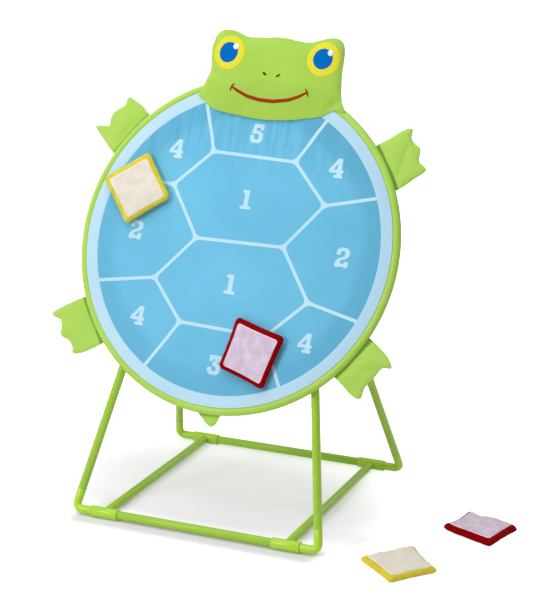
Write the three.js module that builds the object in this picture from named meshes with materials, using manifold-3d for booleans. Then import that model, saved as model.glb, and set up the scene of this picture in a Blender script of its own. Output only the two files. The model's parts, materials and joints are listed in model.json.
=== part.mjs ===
// Turtle target toss game: a round fabric turtle on a tube stand, with four bean bags.
// Millimetres, +Z up. The target faces -Y and leans back.
import * as THREE from 'three';
import { mergeVertices } from 'three/addons/utils/BufferGeometryUtils.js';
import Module from 'manifold-3d';

const wasm = await Module();
wasm.setup();

// General sizes
const clearance = 0.3;
const overrun = 20;
const merge_distance = 0.0001;
const tube_sides = 16;
const round_sides = 28;
const ring_segments = 48;

// Stand: leg axes run from the base corners to two apexes behind the target
const base_width = 490;
const base_depth = 446;
const apex_height = 568;
const apex_width = 267;
const tube_diameter = 16;
const tube_wall = 1.2;
const tee_diameter = 20.5;
const tee_length = 55;
const tee_inset = 62;
const socket_depth = 24;
const elbow_bend_radius = 22;
const elbow_leg_reach = 38;
const elbow_steps = 8;
const spigot_length = 24;
const apex_leg_stop = 32;
const apex_leg_reach = 56;
const apex_bar_stop = 14;
const apex_bar_reach = 40;

// Target: a hoop in a sewn rim, a printed face with a pale border, and a back panel
const target_heel_degrees = 1.207;
const target_roll_degrees = 2;
const target_height = 506;
const face_radius = 281;
const rim_radius = 309;
const rim_diameter = 16;
const rim_wall = 1.5;
const rim_slit_degrees = 20;
const rim_section_steps = 9;
const seam_depth = 7;
const sheet_thickness = 1.2;
const back_panel_depth = 5.3;
const dish_depth = 2;
const dish_start_radius = 225;
const dish_slope_width = 43;

// Sleeves and straps that hold the target to the front legs
const sleeve_length = 90;
const sleeve_drop = 66;
const strap_length = 30;
const strap_drop = 192;
const sleeve_wall = 1.2;
const sleeve_ease = 1.1;
const sleeve_flange_width = 40;
const sleeve_flange_thickness = 1.2;

// Head: a stuffed form over the top of the rim; the eyes are placed from its chin
const head_width = 296;
const head_height = 165;
const head_chin_height = 236;
const head_shift = 11;
const head_roll_degrees = 1.5;
const head_front = 17;
const head_back = 12;
const head_seam_level = 4;
const head_centre_share = 0.5;
// Half outline from the chin up: shares of half the width and of the height
const head_shares = [
  [0, 0], [0.15, 0.003], [0.32, 0.016], [0.49, 0.042], [0.68, 0.085], [0.85, 0.14], [1, 0.188],
  [0.96, 0.29], [0.905, 0.485], [0.895, 0.642], [0.902, 0.764], [0.882, 0.882], [0.838, 0.964],
  [0.753, 0.998], [0.649, 0.994], [0.53, 0.961], [0.419, 0.934], [0.236, 0.942], [0, 0.948],
];
const eye_diameter = 64;
const eye_spacing = 189;
const eye_height = 124;
const eye_thickness = 1.6;
const pupil_diameter = 38;
const pupil_thickness = 1.2;
const pupil_rise = 2;
const patch_gap = 0.9;

// Feet and tail: lightly stuffed flaps sewn into the rim
const foot_angle_degrees = 34.6;
const foot_width = 98;
const foot_length = 68;
const foot_swell = 7;
const tail_angle_degrees = -88;
const tail_width = 52;
const tail_length = 25;
const tail_swell = 5;
const flap_gap = 0.5;
const flap_base_steps = 8;
// Outlines past the rim: shares of half the width and of the length
const foot_shares = [
  [1.0, 0.22], [1.02, 0.5], [1.02, 0.76], [0.93, 0.95], [0.83, 1], [0.72, 0.92], [0.6, 0.84],
  [0.47, 0.83], [0.32, 0.87], [0.16, 0.96], [0.03, 0.99], [-0.12, 0.91], [-0.28, 0.84],
  [-0.47, 0.83], [-0.6, 0.85], [-0.72, 0.93], [-0.84, 1.02], [-0.94, 0.96], [-1.02, 0.76],
  [-1.02, 0.5], [-1.0, 0.22],
];
const tail_shares = [
  [0.9, 0.12], [0.68, 0.4], [0.4, 0.78], [0.2, 0.97], [0, 0.99], [-0.25, 0.78], [-0.55, 0.42],
  [-0.85, 0.14],
];

// Bean bags: pinched squares with a light panel on the front
const bag_side = 103;
const bag_pinch = 3;
const bag_crown = 12;
const bag_back = 12;
const bag_flat_share = 0.84;
const bag_flat_reach = 30;
const bag_side_steps = 6;
const panel_share = 0.8;
const panel_thickness = 1;
const swell_power = 2.4;
const swell_root = 0.62;
const draw_shares = [1, 0.94, 0.82, 0.62, 0.34];

// Where the bags lie: two on the target, in its plane, and two on the floor
const yellow_target_bag_place = [-215, 79];
const yellow_target_bag_turn_degrees = 34;
const red_target_bag_place = [78, -193];
const red_target_bag_turn_degrees = -12.7;
const yellow_floor_bag_place = [400, -2];
const yellow_floor_bag_turn_degrees = -36;
const red_floor_bag_place = [481, 207];
const red_floor_bag_turn_degrees = -16;

const radians = THREE.MathUtils.degToRad;
const tube_radius = tube_diameter / 2;
const bore_radius = tube_radius - tube_wall;
const spigot_radius = bore_radius - clearance;
const tee_radius = tee_diameter / 2;
const rim_section_radius = rim_diameter / 2;
const hoop_section_radius = (
  (rim_section_radius - rim_wall) * Math.cos(Math.PI / rim_section_steps) - clearance);
const rim_outer_radius = rim_radius + rim_section_radius;
const dish_end_radius = dish_start_radius + dish_slope_width;

// The target leans a little more than the front legs, so that its foot stands off them
const leg_lean = Math.atan(base_depth / 2 / (apex_height - tee_radius));
const target_tilt = leg_lean + THREE.MathUtils.degToRad(target_heel_degrees);
const target_seat = back_panel_depth + sheet_thickness + clearance + tee_radius;
const target_drop = apex_height - target_height;
const target_setback = (target_drop * Math.sin(target_tilt) + target_seat) / Math.cos(target_tilt);

const up = new THREE.Vector3(0, 0, 1);
const game = new THREE.Group();

function vector(x, y, z) {
  return new THREE.Vector3(x, y, z);
}

function finish(color, roughness, metalness) {
  return new THREE.MeshStandardMaterial({ color, roughness, metalness });
}

const finishes = {
  tube: () => finish(0xa6ce54, 0.35, 0.1),
  fitting: () => finish(0xa8d346, 0.4, 0),
  green_cloth: () => finish(0xb2dc56, 0.9, 0),
  blue_cloth: () => finish(0x72c4e9, 0.9, 0),
  pale_cloth: () => finish(0xbbdef4, 0.9, 0),
  back_cloth: () => finish(0x9cc94e, 0.95, 0),
  hoop: () => finish(0xd8d8d0, 0.5, 0),
  yellow_cloth: () => finish(0xd9c823, 0.9, 0),
  red_cloth: () => finish(0x940404, 0.9, 0),
  cream_cloth: () => finish(0xeee7d5, 0.9, 0),
  pink_cloth: () => finish(0xd5c4d6, 0.9, 0),
  eye: () => finish(0xe4e94f, 0.8, 0),
  pupil: () => finish(0x0169ca, 0.8, 0),
};

// One closed body with merged points, no slivers and its faces pointing out
function closed(geometry) {
  const bare = geometry.clone();
  bare.deleteAttribute('normal');
  bare.deleteAttribute('uv');
  const merged = mergeVertices(bare, merge_distance);
  const index = merged.index.array;
  const position = merged.attributes.position;
  const corner = (i) => vector(position.getX(i), position.getY(i), position.getZ(i));
  const kept = [];
  let volume = 0;
  for (let i = 0; i < index.length; i += 3) {
    const [a, b, c] = [index[i], index[i + 1], index[i + 2]];
    if (a === b || b === c || c === a) continue;
    kept.push([a, b, c]);
    volume += corner(a).dot(corner(b).cross(corner(c)));
  }
  const faces = volume < 0 ? kept.map(([a, b, c]) => [a, c, b]) : kept;
  merged.setIndex(faces.flat());
  merged.computeVertexNormals();
  return merged;
}

function manifold(geometry) {
  const body = closed(geometry);
  const vertProperties = Float32Array.from(body.attributes.position.array);
  const triVerts = Uint32Array.from(body.index.array);
  return new wasm.Manifold(new wasm.Mesh({ numProp: 3, vertProperties, triVerts }));
}

function meshed(body) {
  const { vertProperties, triVerts } = body.getMesh();
  const geometry = new THREE.BufferGeometry();
  geometry.setAttribute('position', new THREE.BufferAttribute(Float32Array.from(vertProperties), 3));
  geometry.setIndex(Array.from(triVerts));
  return closed(geometry);
}

function piece(name, geometry, material, parent) {
  const mesh = new THREE.Mesh(closed(geometry), material);
  mesh.name = name;
  parent.add(mesh);
  return mesh;
}

// A regular outline whose points lie on the radius, with a flat side facing each axis
function ringOutline(radius, sides) {
  const points = [];
  for (let i = 0; i < sides; i += 1) {
    const angle = (2 * Math.PI * (i + 0.5)) / sides;
    points.push(new THREE.Vector2(radius * Math.cos(angle), radius * Math.sin(angle)));
  }
  return points;
}

function outsideFlats(radius, sides) {
  return radius / Math.cos(Math.PI / sides);
}

// A straight bar or tube from one point to another
function bar(from, to, radius, hole = 0, sides = tube_sides) {
  const shape = new THREE.Shape(ringOutline(radius, sides));
  if (hole > 0) shape.holes.push(new THREE.Path(ringOutline(hole, sides)));
  const along = to.clone().sub(from);
  const geometry = new THREE.ExtrudeGeometry(shape, { depth: along.length(), bevelEnabled: false });
  const turn = new THREE.Quaternion().setFromUnitVectors(up, along.clone().normalize());
  return geometry.applyQuaternion(turn).translate(from.x, from.y, from.z);
}

// A straight run, a round bend and a second straight run
class CornerCurve extends THREE.Curve {
  constructor(start, corner, end, radius) {
    super();
    this.first = start.clone().sub(corner).normalize();
    this.second = end.clone().sub(corner).normalize();
    const half = Math.acos(this.first.dot(this.second)) / 2;
    this.tangent = radius / Math.tan(half);
    this.sweep = Math.PI - 2 * half;
    this.radius = radius;
    this.corner = corner;
    const middle = this.first.clone().add(this.second).normalize();
    this.centre = corner.clone().addScaledVector(middle, radius / Math.sin(half));
    this.lead = start.distanceTo(corner) - this.tangent;
    this.arc = radius * this.sweep;
    this.tail = end.distanceTo(corner) - this.tangent;
  }

  getPoint(t, target = new THREE.Vector3()) {
    let run = t * (this.lead + this.arc + this.tail);
    if (run < this.lead) {
      return target.copy(this.corner).addScaledVector(this.first, this.lead + this.tangent - run);
    }
    run -= this.lead;
    if (run > this.arc) {
      return target.copy(this.corner).addScaledVector(this.second, this.tangent + run - this.arc);
    }
    const angle = run / this.radius;
    const enter = this.corner.clone().addScaledVector(this.first, this.tangent).sub(this.centre);
    return target.copy(this.centre)
      .addScaledVector(enter, Math.cos(angle))
      .addScaledVector(this.first, -this.radius * Math.sin(angle));
  }
}

// Places of the stand
const apex = (side) => vector((side * apex_width) / 2, base_depth / 2, apex_height);
const baseCorner = (side, row) => vector((side * base_width) / 2, row * base_depth, tee_radius);
const teeCentre = (side, row) => vector(side * (base_width / 2 - tee_inset), row * base_depth, tee_radius);
const legDirection = (side, row) => apex(side).sub(baseCorner(side, row)).normalize();
const pointAlong = (from, direction, distance) => from.clone().addScaledVector(direction, distance);

const sides = [['left', -1], ['right', 1]];
const rows = [['front', 0], ['back', 1]];

function tee(side, row) {
  const centre = teeCentre(side, row);
  const half = vector(tee_length / 2, 0, 0);
  const inward = vector(0, row === 0 ? 1 : -1, 0);
  const outer = outsideFlats(tee_radius, tube_sides);
  const bore = outsideFlats(tube_radius + clearance, tube_sides);
  const run = manifold(bar(centre.clone().sub(half), centre.clone().add(half), outer));
  const past = vector(tee_length / 2 + overrun, 0, 0);
  const hole = manifold(bar(centre.clone().sub(past), centre.clone().add(past), bore));
  const spigotStart = pointAlong(centre, inward, (tee_radius + tube_radius + clearance) / 2);
  const spigotEnd = pointAlong(centre, inward, tee_radius + spigot_length);
  const spigot = manifold(bar(spigotStart, spigotEnd, spigot_radius));
  return meshed(run.subtract(hole).add(spigot));
}

function elbow(side, row) {
  const corner = baseCorner(side, row);
  const direction = legDirection(side, row);
  const inward = vector(-side, 0, 0);
  const mouth = tee_inset - tee_length / 2;
  const start = pointAlong(corner, inward, mouth + socket_depth);
  const end = pointAlong(corner, direction, elbow_leg_reach);
  const path = new CornerCurve(start, corner, end, elbow_bend_radius);
  const shape = new THREE.Shape(ringOutline(tube_radius, tube_sides));
  const bend = new THREE.ExtrudeGeometry(shape, { steps: elbow_steps, extrudePath: path });
  const spigotStart = pointAlong(end, direction, -spigot_radius);
  const spigot = bar(spigotStart, pointAlong(end, direction, spigot_length), spigot_radius);
  return meshed(manifold(bend).add(manifold(spigot)));
}

function leg(side, row) {
  const corner = baseCorner(side, row);
  const direction = legDirection(side, row);
  const start = pointAlong(corner, direction, elbow_leg_reach + clearance);
  const end = pointAlong(apex(side), direction, -apex_leg_stop);
  return bar(start, end, tube_radius, bore_radius);
}

// The hidden fitting that joins a front leg, a back leg and the top bar
function apexFitting(side) {
  const hub = apex(side);
  const arms = [
    [legDirection(side, 0).negate(), apex_leg_stop, apex_leg_reach],
    [legDirection(side, 1).negate(), apex_leg_stop, apex_leg_reach],
    [vector(-side, 0, 0), apex_bar_stop, apex_bar_reach],
  ];
  const knuckle = new THREE.IcosahedronGeometry(tee_radius, 1).translate(hub.x, hub.y, hub.z);
  let body = manifold(knuckle);
  for (const [direction, , reach] of arms) {
    body = body.add(manifold(bar(hub, pointAlong(hub, direction, reach), tee_radius)));
  }
  for (const [direction, stop, reach] of arms) {
    const bottom = pointAlong(hub, direction, stop - clearance);
    const mouth = pointAlong(hub, direction, reach + overrun);
    const bore = outsideFlats(tube_radius + clearance, tube_sides);
    body = body.subtract(manifold(bar(bottom, mouth, bore)));
  }
  return meshed(body);
}

function buildStand() {
  for (const [rowName, row] of rows) {
    const reach = base_width / 2 - tee_inset - tee_length / 2 + socket_depth;
    const level = baseCorner(0, row);
    const half = vector(reach, 0, 0);
    const cross = bar(level.clone().sub(half), level.clone().add(half), tube_radius, bore_radius);
    piece(`${rowName}_bar`, cross, finishes.tube(), game);
    for (const [sideName, side] of sides) {
      piece(`${rowName}_${sideName}_tee`, tee(side, row), finishes.fitting(), game);
      piece(`${rowName}_${sideName}_elbow`, elbow(side, row), finishes.fitting(), game);
      piece(`${rowName}_${sideName}_leg`, leg(side, row), finishes.tube(), game);
    }
  }
  const butt = vector(0, outsideFlats(tee_radius, tube_sides) + clearance, 0);
  for (const [sideName, side] of sides) {
    const from = teeCentre(side, 0).add(butt);
    const to = teeCentre(side, 1).sub(butt);
    piece(`${sideName}_side_bar`, bar(from, to, tube_radius, bore_radius), finishes.tube(), game);
    piece(`${sideName}_top_fitting`, apexFitting(side), finishes.fitting(), game);
  }
  const topReach = vector(apex_width / 2 - apex_bar_stop, 0, 0);
  const middle = apex(0);
  const topBar = bar(middle.clone().sub(topReach), middle.clone().add(topReach), tube_radius, bore_radius);
  piece('top_bar', topBar, finishes.tube(), game);
}

// The target's plane: X across, Y up the face, Z out of its front
const targetPlane = new THREE.Group();
targetPlane.position.set(0, base_depth / 2 - target_setback, target_height);
targetPlane.rotation.x = radians(90) - target_tilt;
game.add(targetPlane);
const target = new THREE.Group();
target.rotation.z = radians(-target_roll_degrees);
targetPlane.add(target);

// A shape turned round the target's axis from points of radius and level
function turned(points, segments = ring_segments) {
  const profile = points.map(([radius, level]) => new THREE.Vector2(radius, level));
  return new THREE.LatheGeometry(profile, segments).rotateX(radians(90));
}

function ringSection(radius, from, to, steps) {
  const points = [];
  for (let i = 0; i <= steps; i += 1) {
    const angle = from + ((to - from) * i) / steps;
    points.push([rim_radius + radius * Math.cos(angle), -seam_depth + radius * Math.sin(angle)]);
  }
  return points;
}

// The radius at which a sheet at this level meets the rim
function sheetEdge(level) {
  const rise = level + seam_depth;
  return rim_radius - Math.sqrt(rim_section_radius ** 2 - rise ** 2) - clearance;
}

const border_back = -sheet_thickness;
const face_front = border_back - clearance;
const face_back = face_front - sheet_thickness;

function buildRim() {
  const slit = radians(rim_slit_degrees) / 2;
  const from = -Math.PI + slit;
  const to = Math.PI - slit;
  const inner = ringSection(rim_section_radius - rim_wall, to, from, rim_section_steps);
  const section = ringSection(rim_section_radius, from, to, rim_section_steps).concat(inner);
  section.push(section[0]);
  piece('rim_binding', turned(section), finishes.green_cloth(), target);
  const core = ringSection(hoop_section_radius, 0, 2 * Math.PI, rim_section_steps);
  core[core.length - 1] = core[0];
  piece('hoop', turned(core), finishes.hoop(), target);
}

function buildPanels() {
  const border = [
    [face_radius, border_back], [sheetEdge(border_back), border_back],
    [sheetEdge(border_back), 0], [face_radius, 0], [face_radius, border_back],
  ];
  piece('border_band', turned(border), finishes.pale_cloth(), target);
  const edge = sheetEdge(face_back);
  const face = [
    [0, face_back - dish_depth], [dish_start_radius, face_back - dish_depth],
    [dish_end_radius, face_back], [edge, face_back], [edge, face_front],
    [dish_end_radius, face_front], [dish_start_radius, face_front - dish_depth],
    [0, face_front - dish_depth],
  ];
  piece('face_panel', turned(face), finishes.blue_cloth(), target);
  const backFront = -back_panel_depth;
  const backBack = backFront - sheet_thickness;
  const backEdge = sheetEdge(backBack);
  const back = [[0, backBack], [backEdge, backBack], [backEdge, backFront], [0, backFront]];
  piece('back_panel', turned(back), finishes.back_cloth(), target);
}

// A fabric loop round a front leg, sewn flat against the back panel
function legLoop(name, side, drop, length) {
  const toPlane = new THREE.Matrix4();
  targetPlane.updateMatrix();
  toPlane.copy(targetPlane.matrix).invert();
  const foot = baseCorner(side, 0).applyMatrix4(toPlane);
  const head = apex(side).applyMatrix4(toPlane);
  const share = (-drop - foot.y) / (head.y - foot.y);
  const centre = foot.clone().lerp(head, share);
  const sewn = -back_panel_depth - sheet_thickness - clearance - centre.z;
  const hole = tube_radius + sleeve_ease;
  const outer = hole + sleeve_wall;
  const half = sleeve_flange_width / 2;
  const shape = new THREE.Shape();
  shape.moveTo(-half, sewn);
  shape.lineTo(-half, sewn - sleeve_flange_thickness);
  shape.lineTo(-outer, sewn - sleeve_flange_thickness);
  shape.lineTo(-outer, 0);
  shape.absarc(0, 0, outer, Math.PI, 2 * Math.PI, false);
  shape.lineTo(outer, sewn - sleeve_flange_thickness);
  shape.lineTo(half, sewn - sleeve_flange_thickness);
  shape.lineTo(half, sewn);
  shape.closePath();
  shape.holes.push(new THREE.Path(ringOutline(outsideFlats(hole, tube_sides), tube_sides)));
  const loop = new THREE.ExtrudeGeometry(
    shape, { depth: length, bevelEnabled: false, curveSegments: tube_sides / 2 });
  loop.translate(0, 0, -length / 2).rotateX(radians(90));
  loop.rotateZ(Math.atan2(head.y - foot.y, head.x - foot.x) - radians(90));
  piece(name, loop, finishes.back_cloth(), targetPlane).position.copy(centre);
}

// A sewn form that swells between its seams: rings of its outline, drawn in to a centre
function swell(draw) {
  return (1 - draw ** swell_power) ** swell_root;
}

function pillow(outline, centre, front, back, flat_share = 1, rounding = 0) {
  const draws = draw_shares;
  const count = outline.length;
  const points = [];
  const faces = [];
  const mean = outline.reduce((sum, point) => sum + point.distanceTo(centre), 0) / count;
  const addRing = (draw, height) => {
    const toRound = rounding * (1 - draw);
    for (const point of outline) {
      const spoke = point.clone().sub(centre);
      const reach = draw * (spoke.length() * (1 - toRound) + mean * toRound);
      spoke.setLength(reach).add(centre);
      points.push(spoke.x, spoke.y, height);
    }
  };
  const backHeight = (draw) => -back * Math.min(swell(draw), flat_share);
  for (const draw of draws) addRing(draw, front * swell(draw));
  for (const draw of draws.slice(1)) addRing(draw, backHeight(draw));
  const frontCentre = points.length / 3;
  points.push(centre.x, centre.y, front * swell(0));
  points.push(centre.x, centre.y, backHeight(0));
  const backRing = (i) => (i === 0 ? 0 : (draws.length - 1 + i) * count);
  for (let j = 0; j < count; j += 1) {
    const next = (j + 1) % count;
    for (let i = 0; i + 1 < draws.length; i += 1) {
      const [a, b] = [i * count, (i + 1) * count];
      faces.push(a + j, a + next, b + next, a + j, b + next, b + j);
      const [c, d] = [backRing(i), backRing(i + 1)];
      faces.push(c + next, c + j, d + j, c + next, d + j, d + next);
    }
    const lastFront = (draws.length - 1) * count;
    const lastBack = backRing(draws.length - 1);
    faces.push(lastFront + j, lastFront + next, frontCentre);
    faces.push(lastBack + next, lastBack + j, frontCentre + 1);
  }
  const geometry = new THREE.BufferGeometry();
  geometry.setAttribute('position', new THREE.Float32BufferAttribute(points, 3));
  geometry.setIndex(faces);
  return geometry;
}

// The space of the rim and all behind it, which the head is cut to
function rimSpace() {
  const reach = rim_section_radius + clearance;
  const arc = ringSection(reach, 0, Math.PI / 2, rim_section_steps);
  const behind = -seam_depth - overrun;
  const points = [[0, behind], [rim_radius + reach, behind], ...arc, [0, clearance]];
  return manifold(turned(points));
}

function headOutline() {
  const right = head_shares.map(([across, height]) => new THREE.Vector3(
    (across * head_width) / 2, head_chin_height + height * head_height, 0));
  const left = right.slice(1, -1).reverse().map((point) => vector(-point.x, point.y, 0));
  return right.concat(left);
}

function head(lift) {
  const centre = vector(0, head_chin_height + head_centre_share * head_height, 0);
  const form = pillow(headOutline(), centre, head_front + lift, head_back);
  return form.translate(0, 0, head_seam_level);
}

// A round patch that follows the swell of the head
function headPatch(at, diameter, lift, thickness) {
  const top = pointAlong(at, up, head_front + overrun);
  const post = manifold(bar(at, top, diameter / 2, 0, round_sides));
  const outer = post.intersect(manifold(head(lift + thickness)));
  return meshed(outer.subtract(manifold(head(lift))));
}

function placeOnHead(mesh) {
  mesh.position.x = head_shift;
  mesh.geometry.translate(0, -head_chin_height, 0);
  mesh.position.y = head_chin_height;
  mesh.rotation.z = radians(head_roll_degrees);
  return mesh;
}

function buildHead() {
  const place = new THREE.Matrix4().makeTranslation(head_shift, head_chin_height, 0)
    .multiply(new THREE.Matrix4().makeRotationZ(radians(head_roll_degrees)))
    .multiply(new THREE.Matrix4().makeTranslation(0, -head_chin_height, 0));
  const space = meshed(rimSpace()).applyMatrix4(place.clone().invert());
  const body = meshed(manifold(head(0)).subtract(manifold(space)));
  placeOnHead(piece('head', body, finishes.green_cloth(), target));
  for (const [sideName, side] of sides) {
    const level = head_chin_height + eye_height;
    const at = vector((side * eye_spacing) / 2, level, head_seam_level);
    const eye = headPatch(at, eye_diameter, patch_gap, eye_thickness);
    placeOnHead(piece(`${sideName}_eye`, eye, finishes.eye(), target));
    const raised = at.clone().add(vector(0, pupil_rise, 0));
    const pupil = headPatch(raised, pupil_diameter, 2 * patch_gap + eye_thickness, pupil_thickness);
    placeOnHead(piece(`${sideName}_pupil`, pupil, finishes.pupil(), target));
  }
}

// A flap past the rim: X along its seam, Y outward, Z to the front
function flap(name, angle, width, length, swelling, shares) {
  const edge = rim_outer_radius + flap_gap;
  const outline = shares.map(([across, out]) => vector((across * width) / 2, out * length, 0));
  for (let i = 0; i <= flap_base_steps; i += 1) {
    const across = (-width / 2) * (1 - (2 * i) / flap_base_steps);
    outline.push(vector(across, Math.sqrt(edge ** 2 - across ** 2) - edge, 0));
  }
  const centre = vector(0, length / 2, 0);
  const mesh = piece(name, pillow(outline, centre, swelling, swelling), finishes.green_cloth(), target);
  mesh.position.set(edge * Math.cos(angle), edge * Math.sin(angle), -seam_depth);
  mesh.rotation.z = angle - radians(90);
}

function buildFlaps() {
  for (const [rowName, rise] of [['upper', 1], ['lower', -1]]) {
    for (const [sideName, side] of sides) {
      const slope = radians(rise * foot_angle_degrees);
      const angle = side > 0 ? slope : Math.PI - slope;
      flap(`${rowName}_${sideName}_foot`, angle, foot_width, foot_length, foot_swell, foot_shares);
    }
  }
  flap('tail', radians(tail_angle_degrees), tail_width, tail_length, tail_swell, tail_shares);
}

function bagOutline() {
  const points = [];
  for (let side = 0; side < 4; side += 1) {
    const turn = radians(90 * side);
    for (let i = 0; i < bag_side_steps; i += 1) {
      const share = 1 - (2 * i) / bag_side_steps;
      const across = (share * bag_side) / 2;
      const out = bag_side / 2 - bag_pinch * Math.cos((share * Math.PI) / 2);
      points.push(vector(
        across * Math.cos(turn) - out * Math.sin(turn),
        across * Math.sin(turn) + out * Math.cos(turn), 0));
    }
  }
  return points;
}

// A cloth panel that lies on the front of a bag
function panel(outline) {
  const centre = vector(0, 0, 0);
  const low = bag_crown + clearance;
  const outer = manifold(pillow(outline, centre, low + panel_thickness, bag_back, 1, 1));
  const inner = manifold(pillow(outline, centre, low, bag_back + overrun, 1, 1));
  const cut = outline.map((point) => new THREE.Vector2(point.x, point.y).multiplyScalar(panel_share));
  const block = new THREE.ExtrudeGeometry(
    new THREE.Shape(cut), { depth: bag_crown + overrun, bevelEnabled: false });
  return meshed(outer.intersect(manifold(block)).subtract(inner));
}

function bag(name, place, turn, level, cloth, panelCloth, parent) {
  const outline = bagOutline();
  const body = pillow(outline, vector(0, 0, 0), bag_crown, bag_back, bag_flat_share, 1);
  const group = new THREE.Group();
  group.position.set(place[0], place[1], level + bag_back * bag_flat_share);
  group.rotation.z = radians(turn);
  parent.add(group);
  piece(`${name}_bag`, body, cloth, group);
  piece(`${name}_bag_panel`, panel(outline), panelCloth, group);
}

// The highest level of the dished face under a bag's flat back
function faceLevel(place) {
  const reach = Math.hypot(place[0], place[1]) + bag_flat_reach;
  const share = THREE.MathUtils.mapLinear(reach, dish_start_radius, dish_end_radius, 0, 1);
  return face_front - dish_depth * (1 - THREE.MathUtils.clamp(share, 0, 1)) + clearance;
}

function buildBags() {
  bag('yellow_target', yellow_target_bag_place, yellow_target_bag_turn_degrees,
    faceLevel(yellow_target_bag_place), finishes.yellow_cloth(), finishes.cream_cloth(), target);
  bag('red_target', red_target_bag_place, red_target_bag_turn_degrees,
    faceLevel(red_target_bag_place), finishes.red_cloth(), finishes.pink_cloth(), target);
  bag('yellow_floor', yellow_floor_bag_place, yellow_floor_bag_turn_degrees, 0,
    finishes.yellow_cloth(), finishes.cream_cloth(), game);
  bag('red_floor', red_floor_bag_place, red_floor_bag_turn_degrees, 0,
    finishes.red_cloth(), finishes.pink_cloth(), game);
}

buildStand();
buildRim();
buildPanels();
for (const [sideName, side] of sides) {
  legLoop(`${sideName}_leg_sleeve`, side, sleeve_drop, sleeve_length);
  legLoop(`${sideName}_leg_strap`, side, strap_drop, strap_length);
}
buildHead();
buildFlaps();
buildBags();

// The origin is on the floor, under the middle of the whole set's box
const extent = new THREE.Box3().setFromObject(game);
const middle = extent.getCenter(new THREE.Vector3());
game.position.set(-middle.x, -middle.y, -extent.min.z);

export default game;
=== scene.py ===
"""Turtle target toss game: a round cloth turtle on a tube stand, with four bean bags."""

import json
import math
import random

import bmesh
import bpy
from bmesh.types import BMEdge, BMFace, BMVert
from mathutils import Matrix, Vector
from mathutils.bvhtree import BVHTree
from mathutils.kdtree import KDTree


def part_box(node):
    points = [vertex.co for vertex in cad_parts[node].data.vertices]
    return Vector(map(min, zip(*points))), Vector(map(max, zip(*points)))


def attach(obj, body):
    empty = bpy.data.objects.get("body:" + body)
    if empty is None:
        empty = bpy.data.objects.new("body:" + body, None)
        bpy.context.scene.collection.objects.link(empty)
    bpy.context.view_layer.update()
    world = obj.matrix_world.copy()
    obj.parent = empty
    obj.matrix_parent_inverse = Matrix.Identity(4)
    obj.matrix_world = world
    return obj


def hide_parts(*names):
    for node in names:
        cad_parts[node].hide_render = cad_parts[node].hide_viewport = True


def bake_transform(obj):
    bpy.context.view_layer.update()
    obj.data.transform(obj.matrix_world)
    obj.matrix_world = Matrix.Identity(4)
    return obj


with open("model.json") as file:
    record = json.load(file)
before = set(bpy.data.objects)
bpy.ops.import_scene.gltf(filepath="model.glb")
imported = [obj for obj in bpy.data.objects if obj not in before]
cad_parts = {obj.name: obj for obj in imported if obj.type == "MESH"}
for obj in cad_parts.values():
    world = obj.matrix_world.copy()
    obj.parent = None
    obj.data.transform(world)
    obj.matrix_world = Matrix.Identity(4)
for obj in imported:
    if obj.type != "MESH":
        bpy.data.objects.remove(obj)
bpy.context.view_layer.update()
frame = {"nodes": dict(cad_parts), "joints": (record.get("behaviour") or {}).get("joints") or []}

mm = 0.001

# The view: a plain white studio, seen from the front, a little to the right and above.
# The camera stands where the photograph's stand and target were fitted, over 3 m away.
scene = bpy.context.scene
scene.view_settings.view_transform = "Standard"

front_bar_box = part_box("front_bar")
stand_middle = (front_bar_box[0] + front_bar_box[1]) / 2
stand_middle.z = 0
camera_reach = Vector((1.30667, -2.73825, 1.29684))
camera_azimuth, camera_elevation, camera_roll = 22.620, 15.845, 0.639
focal_pixels, picture_pixels, sensor_width = 1787.95, 610, 36


def turned(degrees, axis="Z"):
    return Matrix.Rotation(math.radians(degrees), 4, axis)


def add_object(name, data):
    made = bpy.data.objects.new(name, data)
    scene.collection.objects.link(made)
    return made


lens = bpy.data.cameras.new("camera")
lens.sensor_width = sensor_width
lens.lens = focal_pixels * sensor_width / picture_pixels
camera = add_object("camera", lens)
camera.matrix_world = (
    Matrix.Translation(stand_middle + camera_reach) @ turned(camera_azimuth)
    @ turned(90 - camera_elevation, "X") @ turned(camera_roll))
scene.camera = camera


def shade(red, green, blue):
    """A colour as it looks on a screen, 0 to 255, as a shader takes it."""
    def linear(value):
        share = value / 255
        return share / 12.92 if share <= 0.04045 else ((share + 0.055) / 1.055) ** 2.4
    return (linear(red), linear(green), linear(blue), 1)


class Value:
    """What a shader socket gives. A sum written with it adds its Math nodes."""

    def __init__(self, nodes, socket):
        self.nodes, self.socket = nodes, socket

    def math(self, operation, *others):
        return self.nodes.add(
            "Math", {"operation": operation}, dict(enumerate((self, *others))))

    def __add__(self, other):
        return self.math("ADD", other)

    def __sub__(self, other):
        return self.math("SUBTRACT", other)

    def __rsub__(self, other):
        return self.nodes.add("Math", {"operation": "SUBTRACT"}, {0: other, 1: self})

    def __mul__(self, other):
        return self.math("MULTIPLY", other)

    def __truediv__(self, other):
        return self.math("DIVIDE", other)

    def __pow__(self, other):
        return self.math("POWER", other)

    __radd__, __rmul__ = __add__, __mul__

    def between(self, low, high):
        """0 at low, 1 at high, and smooth between them."""
        return self.nodes.add(
            "MapRange", {"interpolation_type": "SMOOTHSTEP"},
            {"Value": self, "From Min": low, "From Max": high})


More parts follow.
